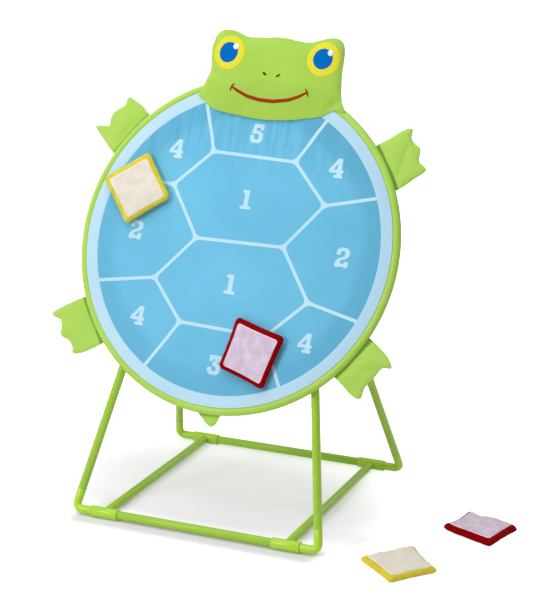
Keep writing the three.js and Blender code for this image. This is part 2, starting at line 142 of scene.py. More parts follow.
class Nodes:
    """The nodes that feed a shader. add() is the one way a node gets in."""

    def __init__(self, owner, shader, **sockets):
        owner.use_nodes = True
        self.tree = owner.node_tree
        self.shader = self.tree.nodes[shader]
        self.give(**sockets)

    def add(self, kind, settings=None, inputs=None, output=0):
        node = self.tree.nodes.new("ShaderNode" + kind)
        for name, value in (settings or {}).items():
            setattr(node, name, value)
        for name, value in (inputs or {}).items():
            self.feed(node.inputs[name], value)
        return Value(self, node.outputs[output])

    def feed(self, socket, value):
        if isinstance(value, Value):
            self.tree.links.new(value.socket, socket)
        else:
            socket.default_value = value

    def give(self, **sockets):
        for socket, value in sockets.items():
            self.feed(self.shader.inputs[socket.replace("_", " ")], value)


class Finish(Nodes):
    """A material in the making."""

    def __init__(self, name, **sockets):
        self.material = bpy.data.materials.new(name)
        super().__init__(self.material, "Principled BSDF", **sockets)

    def mix(self, share, first, second):
        return self.add("Mix", {"data_type": "RGBA"}, {0: share, 6: first, 7: second}, 2)

    def axis(self, place, number):
        return self.add("SeparateXYZ", {}, {0: place}, number)

    def noise(self, place, scale, detail=2):
        return self.add("TexNoise", {}, {"Vector": place, "Scale": scale, "Detail": detail})

    def bump(self, height, strength, distance):
        self.give(Normal=self.add(
            "Bump", {}, {"Height": height, "Strength": strength, "Distance": distance}))

    def own_place(self):
        return self.add("TexCoord", output="Object")

    def cloth_place(self):
        return self.add("TexCoord", output="UV")


# The floor glows white, but for a pool under the stand that stays dim enough to show its
# shadow. The pool is a leaning oval, squared off a little, and ends just past the front bar.
floor_half = 30
glow_near, front_strip = 0.256, (-0.03, 0.16)
pool_middle, pool_reach, pool_lean = (-0.026, 0.137), (0.181, 0.168, 0.056), 0.26
pool_squareness, pool_fade, pool_start = 2.5, (1.18, 3.2), (0, 0.05)
front_fade, side_fade = (0.02, 0.085), (0.225, 0.29)
black, white = (0, 0, 0, 1), (1, 1, 1, 1)
floor_finish = Finish("pale_floor", Base_Color=(0.88, 0.845, 0.91, 1), Roughness=0.9,
                      Emission_Strength=1)
from_stand = floor_finish.add("VectorMath", {"operation": "SUBTRACT"},
                              {0: floor_finish.own_place(), 1: stand_middle})
across, along = [floor_finish.axis(from_stand, i) for i in (0, 1)]
past = along - pool_middle[1]
aside = ((across - pool_middle[0] + pool_lean * past) / pool_reach[0]).math("ABSOLUTE")
away = (past / pool_reach[1]).math("MAXIMUM", past / -pool_reach[2])
spread = (aside ** pool_squareness + away ** pool_squareness) ** (1 / pool_squareness)
inside = along.between(*pool_start)
around = spread.between(*pool_fade) * inside
ahead = (0 - along).between(*front_fade)
beside = across.math("ABSOLUTE").between(*side_fade) * (1 - inside)
under = glow_near * along.between(*front_strip)
straight, mirrored, through = [
    floor_finish.add("LightPath", output=f"Is {kind} Ray")
    for kind in ("Camera", "Glossy", "Transmission")]
glow = (straight + mirrored + through) * (
    1 - (1 - under) * (1 - beside) * (1 - ahead) * (1 - around))
floor_finish.give(Emission_Color=floor_finish.mix(glow, black, white))
bm = bmesh.new()
bmesh.ops.create_grid(bm, x_segments=1, y_segments=1, size=floor_half)
floor_mesh = bpy.data.meshes.new("floor")
bm.to_mesh(floor_mesh)
bm.free()
floor_mesh.materials.append(floor_finish.material)
floor = add_object("floor", floor_mesh)

sky = bpy.data.worlds.new("studio")
scene.world = sky
sky_light = 0.42
sky_nodes = Nodes(sky, "Background", Color=white)
sky_nodes.give(Strength=sky_nodes.add(
    "Mix", {}, {0: sky_nodes.add("LightPath", output="Is Camera Ray"), 2: sky_light, 3: 1}))

# Place, aim, size in metres and power of each lamp
for lamp_name, place, aim, size, power in (
        ("overhead", (-0.5, -0.5, 2.8), (0, 0.05, 0.3), 2.2, 27),
        ("front", (-1.7, -2.7, 1.9), (0, 0, 0.5), 0.9, 34.5),
        ("back", (1.1, 2.9, 1.6), (0, 0.2, 0.4), 1.8, 18)):
    light = bpy.data.lights.new(lamp_name, "AREA")
    light.shape, light.size, light.energy = "DISK", size, power
    lamp = add_object(lamp_name, light)
    lamp.visible_camera = False
    lamp.location = place
    lamp.rotation_euler = (Vector(aim) - Vector(place)).to_track_quat("-Z", "Y").to_euler()


# The stand's tubes: thin steel tube, painted a glossy leaf green. A front and a back bar lie
# on the floor between two side bars, and four legs lean in to the hidden fittings.
base_width, base_depth = 490 * mm, 446 * mm
apex_height, apex_width = 568 * mm, 267 * mm
tube_radius, tube_wall = 8 * mm, 1.2 * mm
tee_radius, tee_length, tee_inset = 10.25 * mm, 55 * mm, 62 * mm
socket_depth, joint_gap = 24 * mm, 0.3 * mm
elbow_reach, apex_stop, top_bar_stop = 38 * mm, 32 * mm, 14 * mm
round_sides = 40
mouth_depth, tube_lip = 12 * mm, 0.35 * mm


def base_corner(side, row):
    return stand_middle + Vector((side * base_width / 2, row * base_depth, tee_radius))


def tee_centre(side, row):
    return base_corner(side, row) - Vector((side * tee_inset, 0, 0))


def apex(side):
    return stand_middle + Vector((side * apex_width / 2, base_depth / 2, apex_height))


def leg_direction(side, row):
    return (apex(side) - base_corner(side, row)).normalized()


def facing(place, direction):
    """A matrix at a place whose Z points in a direction."""
    return Matrix.Translation(place) @ direction.to_track_quat("Z", "Y").to_matrix().to_4x4()


def add_rod(bm, start, end, radius):
    """A solid round rod. Gives its two end faces."""
    run = end - start
    rod = bmesh.ops.create_cone(
        bm, cap_ends=True, segments=round_sides, radius1=radius, radius2=radius,
        depth=run.length, matrix=facing((start + end) / 2, run))
    return list({face for vert in rod["verts"] for face in vert.link_faces
                 if len(face.verts) == round_sides})


def sink(bm, end, wall, push):
    """Sinks a bore into a rod's end face and leaves a wall round it."""
    bmesh.ops.inset_individual(bm, faces=[end], thickness=wall)
    sunk = bmesh.ops.extrude_discrete_faces(bm, faces=[end])["faces"][0]
    bmesh.ops.translate(bm, vec=push, verts=sunk.verts)


def bevelled(bm, geom, offset, affect="EDGES", segments=2):
    bmesh.ops.bevel(bm, geom=geom, affect=affect, offset=offset, segments=segments,
                    profile=0.5, material=-1)


def add_tube(bm, start, end, radius, wall, mouth=mouth_depth, lip=tube_lip):
    """A round tube with rounded lips, open at both ends as far as can be seen."""
    ends = add_rod(bm, start, end, radius)
    rims = list({edge for face in ends for edge in face.edges})
    for face in ends:
        sink(bm, face, wall, face.normal * -mouth)
    bevelled(bm, rims, lip)


def finished(name, bm, body, finish, stands_for=(), sharp_degrees=40):
    """Makes a piece of a bmesh: its mesh, its finish, its body and the nodes it stands for."""
    mesh = bpy.data.meshes.new(name)
    bm.to_mesh(mesh)
    bm.free()
    mesh.shade_smooth()
    mesh.set_sharp_from_angle(angle=math.radians(sharp_degrees))
    for each in finish if isinstance(finish, (list, tuple)) else (finish,):
        mesh.materials.append(each.material)
    made = add_object(name, mesh)
    if body:
        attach(made, body)
    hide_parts(*stands_for)
    return made


paint = Finish("leaf_green_paint", IOR=1.45, Specular_IOR_Level=0.45)
place = paint.own_place()
drift = paint.noise(place, 9)
grain = paint.noise(place, 700, 3)
scuff = paint.noise(place, 60, 4).between(0.66, 0.74)
paint.give(
    Base_Color=paint.mix(
        scuff * 0.35,
        paint.mix(drift, shade(158, 202, 50), shade(172, 216, 64)), shade(186, 220, 112)),
    Roughness=0.27 + 0.1 * drift + 0.15 * scuff)
paint.bump(grain, 0.05, 0.3 * mm)


def make_tube(name, start, end, stands_for):
    bm = bmesh.new()
    add_tube(bm, start, end, tube_radius, tube_wall)
    finished(name, bm, "frame", paint, [stands_for])


sides = (("left", -1), ("right", 1))
rows = (("front", 0), ("back", 1))
bar_reach = Vector((base_width / 2 - tee_inset - tee_length / 2 + socket_depth, 0, 0))
for row_name, row in rows:
    middle = base_corner(0, row)
    make_tube(f"{row_name}_cross_bar", middle - bar_reach, middle + bar_reach,
              f"{row_name}_bar")
    for side_name, side in sides:
        along = leg_direction(side, row)
        make_tube(f"{row_name}_{side_name}_tube_leg",
                  base_corner(side, row) + along * (elbow_reach + joint_gap),
                  apex(side) - along * apex_stop, f"{row_name}_{side_name}_leg")
butt = Vector((0, tee_radius + joint_gap, 0))
for side_name, side in sides:
    make_tube(f"{side_name}_floor_bar", tee_centre(side, 0) + butt,
              tee_centre(side, 1) - butt, f"{side_name}_side_bar")
top_reach = Vector((apex_width / 2 - top_bar_stop, 0, 0))
make_tube("upper_cross_bar", apex(0) - top_reach, apex(0) + top_reach, "top_bar")

# The stand's fittings: moulded plastic in a yellower green. The tees and the elbows hold the
# corners on the floor, and two three-way fittings behind the target hold the legs' tops.
bend_radius, bend_steps, elbow_lip, lip_angle = 11 * mm, 14, 0.5 * mm, 1
spigot_radius, spigot_length = 6.5 * mm, 24 * mm
tee_web, tee_lip, tee_shell = 1 * mm, 0.6 * mm, 1.2 * mm
socket_wall = tee_radius - tube_radius - joint_gap
apex_reach, top_bar_reach, hub_radius = 56 * mm, 40 * mm, tee_radius * 1.02
fitting_voxel, soft_degrees = 0.9 * mm, 60

moulded = Finish("moulded_green", IOR=1.47, Specular_IOR_Level=0.55)
place = moulded.own_place()
flow = moulded.noise(place, 22, 3)
pebble = moulded.noise(place, 1600, 2)
moulded.give(
    Base_Color=moulded.mix(flow, shade(176, 221, 44), shade(190, 233, 62)),
    Roughness=0.24 + 0.12 * flow)
moulded.bump(pebble, 0.05, 0.3 * mm)


def only(kind, items):
    return [item for item in items if isinstance(item, kind)]


def add_bent_rod(bm, start, corner, end, bend, radius):
    """A solid round rod that runs to a corner, bends there and runs on."""
    first, second = (start - corner).normalized(), (end - corner).normalized()
    half = first.angle(second) / 2
    tangent = bend / math.tan(half)
    centre = corner + (first + second).normalized() * (bend / math.sin(half))
    ring = bmesh.ops.create_circle(
        bm, segments=round_sides, radius=radius, matrix=facing(start, -first))["verts"]

    def run_on(edges, vector):
        grown = bmesh.ops.extrude_edge_only(bm, edges=edges)["geom"]
        bmesh.ops.translate(bm, vec=vector, verts=only(BMVert, grown))
        return only(BMEdge, grown)

    edges = run_on(list({edge for vert in ring for edge in vert.link_edges}),
                   corner + first * tangent - start)
    bent = bmesh.ops.spin(
        bm, geom=[edge for edge in edges if not edge.is_manifold], cent=centre,
        axis=(-first).cross(second), angle=math.pi - 2 * half, steps=bend_steps,
        use_merge=False)["geom_last"]
    run_on(only(BMEdge, bent), end - corner - second * tangent)
    bmesh.ops.holes_fill(bm, edges=[edge for edge in bm.edges if edge.is_boundary], sides=0)
    bmesh.ops.recalc_face_normals(bm, faces=bm.faces)


for row_name, row in rows:
    for side_name, side in sides:
        corner, along = base_corner(side, row), leg_direction(side, row)
        inward = Vector((-side, 0, 0))
        stop = corner + along * elbow_reach
        bm = bmesh.new()
        add_bent_rod(bm, corner + inward * (tee_inset - tee_length / 2 + socket_depth),
                     corner, stop, bend_radius, tube_radius)
        bevelled(bm, [edge for edge in bm.edges
                      if edge.is_manifold and edge.calc_face_angle() > lip_angle], elbow_lip)
        add_tube(bm, stop - along * spigot_radius, stop + along * spigot_length, spigot_radius,
                 tube_wall)
        finished(f"{row_name}_{side_name}_corner", bm, "frame", moulded,
                 [f"{row_name}_{side_name}_elbow"])
        centre, half = tee_centre(side, row), Vector((tee_length / 2, 0, 0))
        turn_in = Vector((0, 1 - 2 * row, 0))
        bm = bmesh.new()
        add_tube(bm, centre - half, centre + half, tee_radius, socket_wall,
                 tee_length / 2 - tee_web, tee_lip)
        add_tube(bm, centre + turn_in * (tee_radius - tee_shell),
                 centre + turn_in * (tee_radius + spigot_length), spigot_radius, tube_wall)
        finished(f"{row_name}_{side_name}_moulded_tee", bm, "frame", moulded,
                 [f"{row_name}_{side_name}_tee"])

for side_name, side in sides:
    hub = apex(side)
    bm = bmesh.new()
    bmesh.ops.create_icosphere(
        bm, subdivisions=4, radius=hub_radius, matrix=Matrix.Translation(hub))
    for arm, stop, reach in (
            (-leg_direction(side, 0), apex_stop, apex_reach),
            (-leg_direction(side, 1), apex_stop, apex_reach),
            (Vector((-side, 0, 0)), top_bar_stop, top_bar_reach)):
        tip = max(add_rod(bm, hub, hub + arm * reach, tee_radius),
                  key=lambda face: (face.calc_center_median() - hub).length)
        sink(bm, tip, socket_wall, -arm * (reach - stop))
    fitting = finished(f"{side_name}_three_way", bm, "frame", moulded,
                       [f"{side_name}_top_fitting"], soft_degrees)
    fused = fitting.modifiers.new("fused", "REMESH")
    fused.mode, fused.voxel_size, fused.use_smooth_shade = "VOXEL", fitting_voxel, True
    eased = fitting.modifiers.new("eased", "SMOOTH")
    eased.factor, eased.iterations = 0.6, 4

# The face: one round blue cloth with a soft looped nap, printed with a turtle's plates in pale
# lines. It is stretched over a hoop in the rim, and gathers a little under the stuffed head.
peel = next(joint for joint in frame["joints"] if joint["name"] == "yellow_bag_peel")
outward = Vector(peel["axis"]).normalized()
band_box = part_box("border_band")
band_front = 0.6 * mm
target_roll = -2
rise = outward.cross(Vector((1, 0, 0)))
target_centre = (band_box[0] + band_box[1]) / 2 + outward * band_front
target_place = Matrix.Translation(target_centre) @ Matrix((
    (1, rise.x, outward.x, 0), (0, rise.y, outward.y, 0), (0, rise.z, outward.z, 0),
    (0, 0, 0, 1))) @ turned(target_roll)

face_radius, face_edge, line_width = 281 * mm, 300.4 * mm, 6.2 * mm
face_front, face_back = -1.5 * mm, -2.7 * mm
dish_depth, dish_from, dish_to = 2 * mm, 225 * mm, 268 * mm
face_pitch, flare, flare_steps = 7 * mm, 8 * mm, 4
arc_step, ring_steps = 1.5, 240
cut_slack, touching = mm / 1000, mm / 100
# Where the plates meet, as shares of the face's radius, and the lines' ends on its edge
plate_corners = {
    "top_left": (-0.287, 0.593), "top_right": (0.304, 0.592),
    "upper_left": (-0.527, 0.338), "upper_right": (0.562, 0.334),
    "middle_left": (-0.289, 0.004), "middle_right": (0.334, 0.026),
    "lower_left": (-0.530, -0.298), "lower_right": (0.577, -0.305),
    "bottom_left": (-0.285, -0.562), "bottom_right": (0.327, -0.569)}
plates = (
    ("top_left", "top_right", 62.2, 113.7),
    ("top_right", "upper_right", 25, 62.2),
    ("upper_left", "top_left", 113.7, 159.5),
    ("top_left", "top_right", "upper_right", "middle_right", "middle_left", "upper_left"),
    ("upper_right", 25, -21.8, "lower_right", "middle_right"),
    ("middle_left", "lower_left", 202, 159.5, "upper_left"),
    ("middle_left", "middle_right", "lower_right", "bottom_right", "bottom_left",
     "lower_left"),
    ("lower_right", -21.8, -60.3, "bottom_right"),
    ("bottom_left", 242.1, 202, "lower_left"),
    ("bottom_right", -60.3, -117.9, "bottom_left"))
fold_top, fold_length, fold_depth = 236 * mm, 62 * mm, 2.0 * mm
fold_splay, fold_level, fold_reach = 0.25, 0.45, 120 * mm
# Where each fold lies across the face, and how wide it is, in metres
folds = ((-0.078, 0.006), (-0.058, 0.005), (-0.037, 0.007), (-0.012, 0.005), (0.014, 0.006),
         (0.039, 0.005), (0.061, 0.007), (0.083, 0.005))


def smooth_share(value, low, high):
    """0 up to low, 1 from high, and smooth between them."""
    share = min(max((value - low) / (high - low), 0), 1)
    return share * share * (3 - 2 * share)


def face_level(point):
    """How far the face cloth lies in front of the seam: a shallow dish with a few folds."""
    x, y = point.xy
    dish = dish_depth * (smooth_share(math.hypot(x, y), dish_from, dish_to) - 1)
    if y <= 0 or abs(x) >= fold_reach:
        return face_front + dish
    below = (fold_top - y) / fold_length
    gathers = sum(math.exp(-((x - at * (1 + fold_splay * below)) / wide) ** 2)
                  for at, wide in folds)
    return face_front + dish + fold_depth * math.exp(-max(0, below)) * (fold_level - gathers)


def cut_cloth(bm, outline, pitch):
    """A flat panel cut to an outline, with a net of points across it."""
    bm.faces.new([bm.verts.new((x, y, 0)) for x, y in outline])
    net_cloth(bm, pitch)


def net_cloth(bm, pitch):
    for axis in (0, 1):
        places = [vert.co[axis] for vert in bm.verts]
        low, high = min(places), max(places)
        steps = math.ceil((high - low) / pitch)
        for i in range(1, steps):
            at, normal = Vector(), Vector()
            at[axis], normal[axis] = low + (high - low) * i / steps, 1
            bmesh.ops.bisect_plane(
                bm, geom=bm.verts[:] + bm.edges[:] + bm.faces[:], dist=cut_slack,
                plane_co=at, plane_no=normal)


def face_up(bm, up=1):
    """Turns the faces of flat cloth upwards, or downwards where up is -1."""
    for each in bm.faces:
        each.normal_update()
    bmesh.ops.reverse_faces(bm, faces=[each for each in bm.faces if each.normal.z * up < 0])


def map_flat(bm):
    """Keeps where each corner lies in the flat cloth, for its weave."""
    layer = bm.loops.layers.uv.verify()
    for face in bm.faces:
        for loop in face.loops:
            loop[layer].uv = loop.vert.co.xy


def lay_cloth(bm, pitch, level_at, thickness, up=1):
    """Lays a flat cut of cloth on the target, each point at its level."""
    net_cloth(bm, pitch)
    face_up(bm, up)
    map_flat(bm)
    for vert in bm.verts:
        vert.co.z = level_at(vert.co)
    bmesh.ops.solidify(bm, geom=bm.faces[:], thickness=thickness)
    bm.transform(target_place)


def cloth_finish(name, light, dark, pitch=1.3 * mm, nap=0.3, blotch=5, gloss=0.25):
    """Woven cloth: crossing threads, a little nap, and a colour that is never quite even."""
    finish = Finish(name, Roughness=0.86, Specular_IOR_Level=gloss, Sheen_Weight=nap,
                    Sheen_Roughness=0.5)
    finish.place = finish.cloth_place()
    warp, weft = [(finish.axis(finish.place, i) * (2 * math.pi / pitch)).math("SINE")
                  for i in (0, 1)]
    threads = warp * weft
    fuzz = finish.noise(finish.place, 900, 3)
    uneven = finish.noise(finish.place, blotch, 3)
    finish.colour = finish.mix(
        (uneven * 1.6 + fuzz * 0.5 + threads * 0.06 - 0.55).between(0, 1), dark, light)
    finish.give(Base_Color=finish.colour)
    finish.bump(threads * 0.25 + fuzz * nap, 0.35, 0.4 * mm)
    return finish


def paint_shade_on(cloth, share, colour):
    """Paints shade into a cloth's colour: turns it towards a darker one by a share."""
    cloth.give(Base_Color=cloth.mix(share, cloth.colour, colour))


def on_circle(degrees, radius=1):
    angle = math.radians(degrees)
    return Vector((math.cos(angle), math.sin(angle))) * radius


def plate_outline(plate, radius):
    """A plate's corners, with points along the face's edge between two angles."""
    outline = []
    for i, corner in enumerate(plate):
        if isinstance(corner, str):
            outline.append(Vector(plate_corners[corner]) * face_radius)
            continue
        after = plate[(i + 1) % len(plate)]
        sweep = 0 if isinstance(after, str) else after - corner
        steps = max(1, math.ceil(abs(sweep) / arc_step))
        outline += [on_circle(corner + sweep * step / steps, radius) for step in range(steps)]
    return outline


bm = bmesh.new()
half_line = line_width / 2
for plate in plates:
    corners = plate_outline(plate, face_radius + half_line)
    bm.faces.new([bm.verts.new((x, y, 0)) for x, y in corners])
bmesh.ops.remove_doubles(bm, verts=bm.verts, dist=touching)
bmesh.ops.recalc_face_normals(bm, faces=bm.faces)
lines = bmesh.ops.inset_individual(bm, faces=bm.faces[:], thickness=half_line,
                                   use_even_offset=True)["faces"]
bmesh.ops.delete(bm, geom=lines, context="FACES_ONLY")
bmesh.ops.delete(bm, geom=[edge for edge in bm.edges if not edge.link_faces], context="EDGES")
corners = [vert for vert in bm.verts
           if vert.co.length < face_radius - mm and vert.is_boundary]
bevelled(bm, corners, flare, "VERTICES", flare_steps)
bmesh.ops.create_circle(bm, segments=ring_steps, radius=face_edge)
loose = [edge for edge in bm.edges if edge.is_boundary or edge.is_wire]
ground = bmesh.ops.triangle_fill(bm, edges=loose, use_dissolve=False, normal=(0, 0, 1))
for each in only(BMFace, ground["geom"]):
    each.material_index = 1
lay_cloth(bm, face_pitch, face_level, face_front - face_back)

# Painted shade on the blue: darker near its brim, over its upper plates in soft vertical streaks,
# and towards its right side.
shade_wander_reach, pleat_stretch = 60 * mm, (90, 7, 1)
brim_fade, upper_fade = (258 * mm, 292 * mm), (130 * mm, 215 * mm)
far_fade, pleat_fade = (120 * mm, 270 * mm), (0.42, 0.62)
blue_cloth = cloth_finish("blue_looped_cloth", shade(117, 203, 238), shade(106, 192, 228))
reach = blue_cloth.add("VectorMath", {"operation": "LENGTH"}, {0: blue_cloth.place}, "Value")
east, north = [blue_cloth.axis(blue_cloth.place, i) for i in (0, 1)]
shade_wander = blue_cloth.noise(blue_cloth.place, 4) * shade_wander_reach
brim_shade = (reach + shade_wander).between(*brim_fade)
upper = (north + shade_wander * 0.5).between(*upper_fade)
far_side_shade = (east + shade_wander).between(*far_fade)
pleat_shade = blue_cloth.noise(blue_cloth.add(
    "VectorMath", {"operation": "MULTIPLY"}, {0: blue_cloth.place, 1: pleat_stretch}), 1)
face_shade = brim_shade * 0.55 + upper * (0.15 + 0.42 * pleat_shade.between(*pleat_fade)) + far_side_shade * 0.3
paint_shade_on(blue_cloth, face_shade, shade(94, 176, 210))
pale_print = cloth_finish("pale_print", shade(202, 240, 252), shade(190, 230, 248))
face = finished("turtle_face", bm, "frame", (blue_cloth, pale_print),
                ["face_panel"])

# The numbers: plain slab digits in pale print, one on each plate. They tell the points that a
# bag scores there.
digit_height, digit_lift, digit_sink, digit_round = 36 * mm, 0.25 * mm, 0.5 * mm, 1.1 * mm
digit_pitch = 9 * mm
# Each digit's outlines, as shares of its height: across from its middle, and up from its foot
digit_outlines = {
    1: [[(-.30, 0), (.30, 0), (.30, .16), (.12, .16), (.12, 1), (-.26, 1), (-.26, .84),
         (-.12, .84), (-.12, .16), (-.30, .16)]],
    2: [[(-.35, .62), (-.35, .84), (-.19, 1), (.19, 1), (.36, .84), (.36, .60), (.22, .46),
         (-.08, .34), (-.12, .22), (.10, .17), (.16, .32), (.35, .32), (.35, .03), (.20, -.02),
         (.02, .05), (-.12, 0), (-.36, 0), (-.36, .24), (-.24, .42), (.08, .57), (.12, .68),
         (.12, .76), (.05, .82), (-.05, .82), (-.12, .75), (-.12, .62)]],
    3: [[(-.33, 1), (.33, 1), (.33, .80), (.10, .61), (.33, .48), (.36, .17), (.19, 0),
         (-.19, 0), (-.36, .16), (-.36, .37), (-.13, .37), (-.13, .25), (-.06, .18),
         (.06, .18), (.12, .26), (.12, .36), (.04, .44), (-.12, .44), (-.12, .60),
         (.05, .80), (-.12, .80), (-.12, .68), (-.33, .68)]],
    4: [[(.02, 1), (.26, 1), (.26, .42), (.37, .42), (.37, .25), (.26, .25), (.26, .16),
         (.35, .16), (.35, 0), (-.12, 0), (-.12, .16), (.03, .16), (.03, .25), (-.41, .25),
         (-.41, .41)], [(.03, .42), (.03, .72), (-.19, .42)]],
    5: [[(-.24, 1), (.33, 1), (.33, .70), (.15, .70), (.15, .80), (-.05, .80), (-.07, .65),
         (.17, .65), (.35, .49), (.35, .16), (.19, 0), (-.19, 0), (-.35, .14), (-.35, .41),
         (-.13, .41), (-.13, .25), (-.06, .18), (.06, .18), (.12, .25), (.12, .42),
         (.05, .48), (-.30, .48)]]}
# Each number, and where its middle lies on the face, in millimetres
scores = ((5, -1, 210), (4, -156, 163), (4, 168, 165), (1, 4, 85), (2, -206, 0), (2, 211, 5),
          (1, 6, -75), (4, -166, -159), (4, 173, -158), (3, 6, -226))
bm = bmesh.new()
for digit, x, y in scores:
    corners = []
    for outline in digit_outlines[digit]:
        loop = [bm.verts.new((x * mm + across * digit_height,
                              y * mm + (high - 0.5) * digit_height, 0))
                for across, high in outline]
        for i, vert in enumerate(loop):
            bm.edges.new((vert, loop[i - 1]))
        corners += loop
    bevelled(bm, corners, digit_round, "VERTICES")
    bmesh.ops.triangle_fill(bm, edges=[edge for edge in bm.edges if edge.is_wire],
                            use_dissolve=True, normal=(0, 0, 1))
lay_cloth(bm, digit_pitch, lambda point: face_level(point) + digit_lift, digit_sink)
finished("plate_numbers", bm, "frame", pale_print)

# The border band: a pale ring of the same cloth, sewn over the face's edge and held by the
# binding. Its inner edge lies flat on the blue.
# Its section, turned round the face: radius and level in millimetres
band_section = ((281, -1.42), (281.4, -1.2), (283, -0.75), (287, -0.3), (293, -0.05),
                (303.2, 0), (303.2, -1.2), (292, -1.25), (281.3, -1.45))
band_width, band_pucker, band_dip = 22 * mm, 0.5 * mm, 0.4
# Where the band's painted shade begins and where it is full, across the face
band_fade = 60 * mm, 280 * mm


def turn_round(bm, section, steps=ring_steps, closed=True):
    """Turns a section of radii and levels round the target's axis."""
    verts = [bm.verts.new((radius, 0, level)) for radius, level in section]
    line = verts + verts[:1] if closed else verts
    edges = [bm.edges.new(pair) for pair in zip(line, line[1:])]
    bmesh.ops.spin(bm, geom=verts + edges, cent=(0, 0, 0), axis=(0, 0, 1),
                   angle=2 * math.pi, steps=steps, use_merge=True)
    bmesh.ops.recalc_face_normals(bm, faces=bm.faces)


def ripples(seed, fewest, most, count):
    """A ripple that runs round the target, from a few waves drawn by a seed."""
    rng = random.Random(seed)
    waves = [(rng.randint(fewest, most), rng.uniform(0, 6.28)) for _ in range(count)]

    def ripple(point):
        angle = math.atan2(point.y, point.x)
        return sum(math.sin(turns * angle + start) for turns, start in waves) / count
    return ripple


bm = bmesh.new()
turn_round(bm, [(radius * mm, level * mm) for radius, level in band_section])
map_flat(bm)
ripple = ripples(seed=7, fewest=30, most=90, count=6)
for vert in bm.verts:
    if vert.co.z > -mm:
        share = (vert.co.xy.length - face_radius) / band_width
        vert.co.z += (ripple(vert.co) - band_dip) * band_pucker * share * (1 - share) * 4
bm.transform(target_place)
band_cloth = cloth_finish("pale_band_cloth", shade(201, 237, 251), shade(190, 227, 247))
# Painted shade: the band grows darker towards the face's right side.
band_shade = band_cloth.axis(band_cloth.place, 0).between(*band_fade) * 0.8
paint_shade_on(band_cloth, band_shade, shade(178, 216, 238))
finished("pale_border", bm, "frame", band_cloth, ["border_band"])

# The rim: a strip of green cloth folded round the hoop and sewn down inside the border with a
# small even stitch. It puckers slightly all the way round.
rim_radius, rim_section, rim_level = 309 * mm, 8 * mm, -7 * mm
rim_slit_degrees, rim_wall = 18, 1.0 * mm
rim_steps, rim_section_steps = 360, 18
rim_pucker, outer_pucker = 0.35 * mm, 0.35
stitch_length, stitch_gap, stitch_width = 3.2 * mm, 1.6 * mm, 0.7 * mm
seam_radius, seam_degrees, seam_lift = 303.6 * mm, 146, 1.02


def map_round(bm):
    """Weave places on the rim: along it, and round its section."""
    layer = bm.loops.layers.uv.verify()
    for face in bm.faces:
        middle = face.calc_center_median()
        at = math.atan2(middle.y, middle.x)
        for loop in face.loops:
            x, y, z = loop.vert.co
            turn = math.atan2(y, x)
            turn += 2 * math.pi * round((at - turn) / (2 * math.pi))
            around = math.atan2(z - rim_level, math.hypot(x, y) - rim_radius)
            loop[layer].uv = (turn * rim_radius, around * rim_section)


green_cloth = cloth_finish("green_cloth", shade(187, 228, 100), shade(171, 213, 78))
bm = bmesh.new()
section_sweep = (360 - 2 * rim_slit_degrees) / rim_section_steps
turn_round(bm, [Vector((rim_radius, rim_level))
                + on_circle(180 - rim_slit_degrees - i * section_sweep, rim_section)
                for i in range(rim_section_steps + 1)], rim_steps, closed=False)
map_round(bm)
ripple = ripples(seed=11, fewest=60, most=150, count=7)
for vert in bm.verts:
    flat = vert.co.xy.normalized().to_3d()
    spoke = vert.co - flat * rim_radius - Vector((0, 0, rim_level))
    inner = max(0, -spoke.dot(flat) / rim_section)
    vert.co += spoke.normalized() * ripple(vert.co) * rim_pucker * (outer_pucker + inner)
bmesh.ops.recalc_face_normals(bm, faces=bm.faces)
if sum(face.normal.dot(face.calc_center_median()) * face.calc_area() for face in bm.faces) < 0:
    bmesh.ops.reverse_faces(bm, faces=bm.faces)
bmesh.ops.solidify(bm, geom=bm.faces[:], thickness=rim_wall)
bm.transform(target_place)
finished("rim_cloth", bm, "frame", green_cloth, ["rim_binding"])

hoop_steel = Finish("blued_spring_steel", Metallic=1)
drawn = hoop_steel.noise(hoop_steel.own_place(), 240, 3)
hoop_steel.give(Base_Color=hoop_steel.mix(drawn, shade(120, 124, 130), shade(158, 162, 168)),
                Roughness=0.32 + 0.16 * drawn)
hoop_steel.bump(drawn, 0.08, 0.2 * mm)
frame["nodes"]["hoop"].material_slots[0].material = hoop_steel.material


def add_stitch(bm, place):
    """One stitch: a short round thread with pinched ends, lying along Y at its place."""
    bmesh.ops.create_uvsphere(
        bm, u_segments=6, v_segments=4, radius=1,
        matrix=place @ turned(90) @ turned(90, "Y")
        @ Matrix.Diagonal((stitch_width / 2, stitch_width / 2, stitch_length / 2, 1)))


bm = bmesh.new()
count = round(2 * math.pi * seam_radius / (stitch_length + stitch_gap))
across, level = (Vector((rim_radius, rim_level))
                 + on_circle(seam_degrees, rim_section * seam_lift))
for i in range(count):
    add_stitch(bm, turned(360 * i / count) @ Matrix.Translation((across, 0, level)))
bm.transform(target_place)
green_thread = Finish("green_thread", Roughness=0.55, Sheen_Weight=0.2)
green_thread.give(Base_Color=green_thread.mix(
    green_thread.noise(green_thread.own_place(), 300), shade(150, 196, 58),
    shade(172, 214, 84)))
finished("rim_stitches", bm, "frame", green_thread)

# The back panel: a plain round of green cloth that closes the target behind. The hoop is
# shut in between it and the face.
back_front, back_thick, back_edge, back_pitch = -5.3 * mm, 1.2 * mm, 300.6 * mm, 14 * mm
back_sides, back_pucker, back_wall = 180, 0.7 * mm, back_thick * 0.8
back_cloth = cloth_finish("plain_green_backing", shade(160, 206, 84), shade(146, 192, 68),
                          pitch=1.6 * mm, nap=0.15)
back_ripple = ripples(seed=5, fewest=5, most=40, count=7)


def back_level(point):
    share = point.length / back_edge
    swell = back_pucker * share ** 3 * (1.01 - share) * 6
    return back_front - back_thick + back_ripple(point) * swell


bm = bmesh.new()
bmesh.ops.create_circle(bm, cap_ends=True, segments=back_sides, radius=back_edge)
lay_cloth(bm, back_pitch, back_level, back_wall, -1)
backing = finished("target_backing", bm, "frame", back_cloth, ["back_panel"])

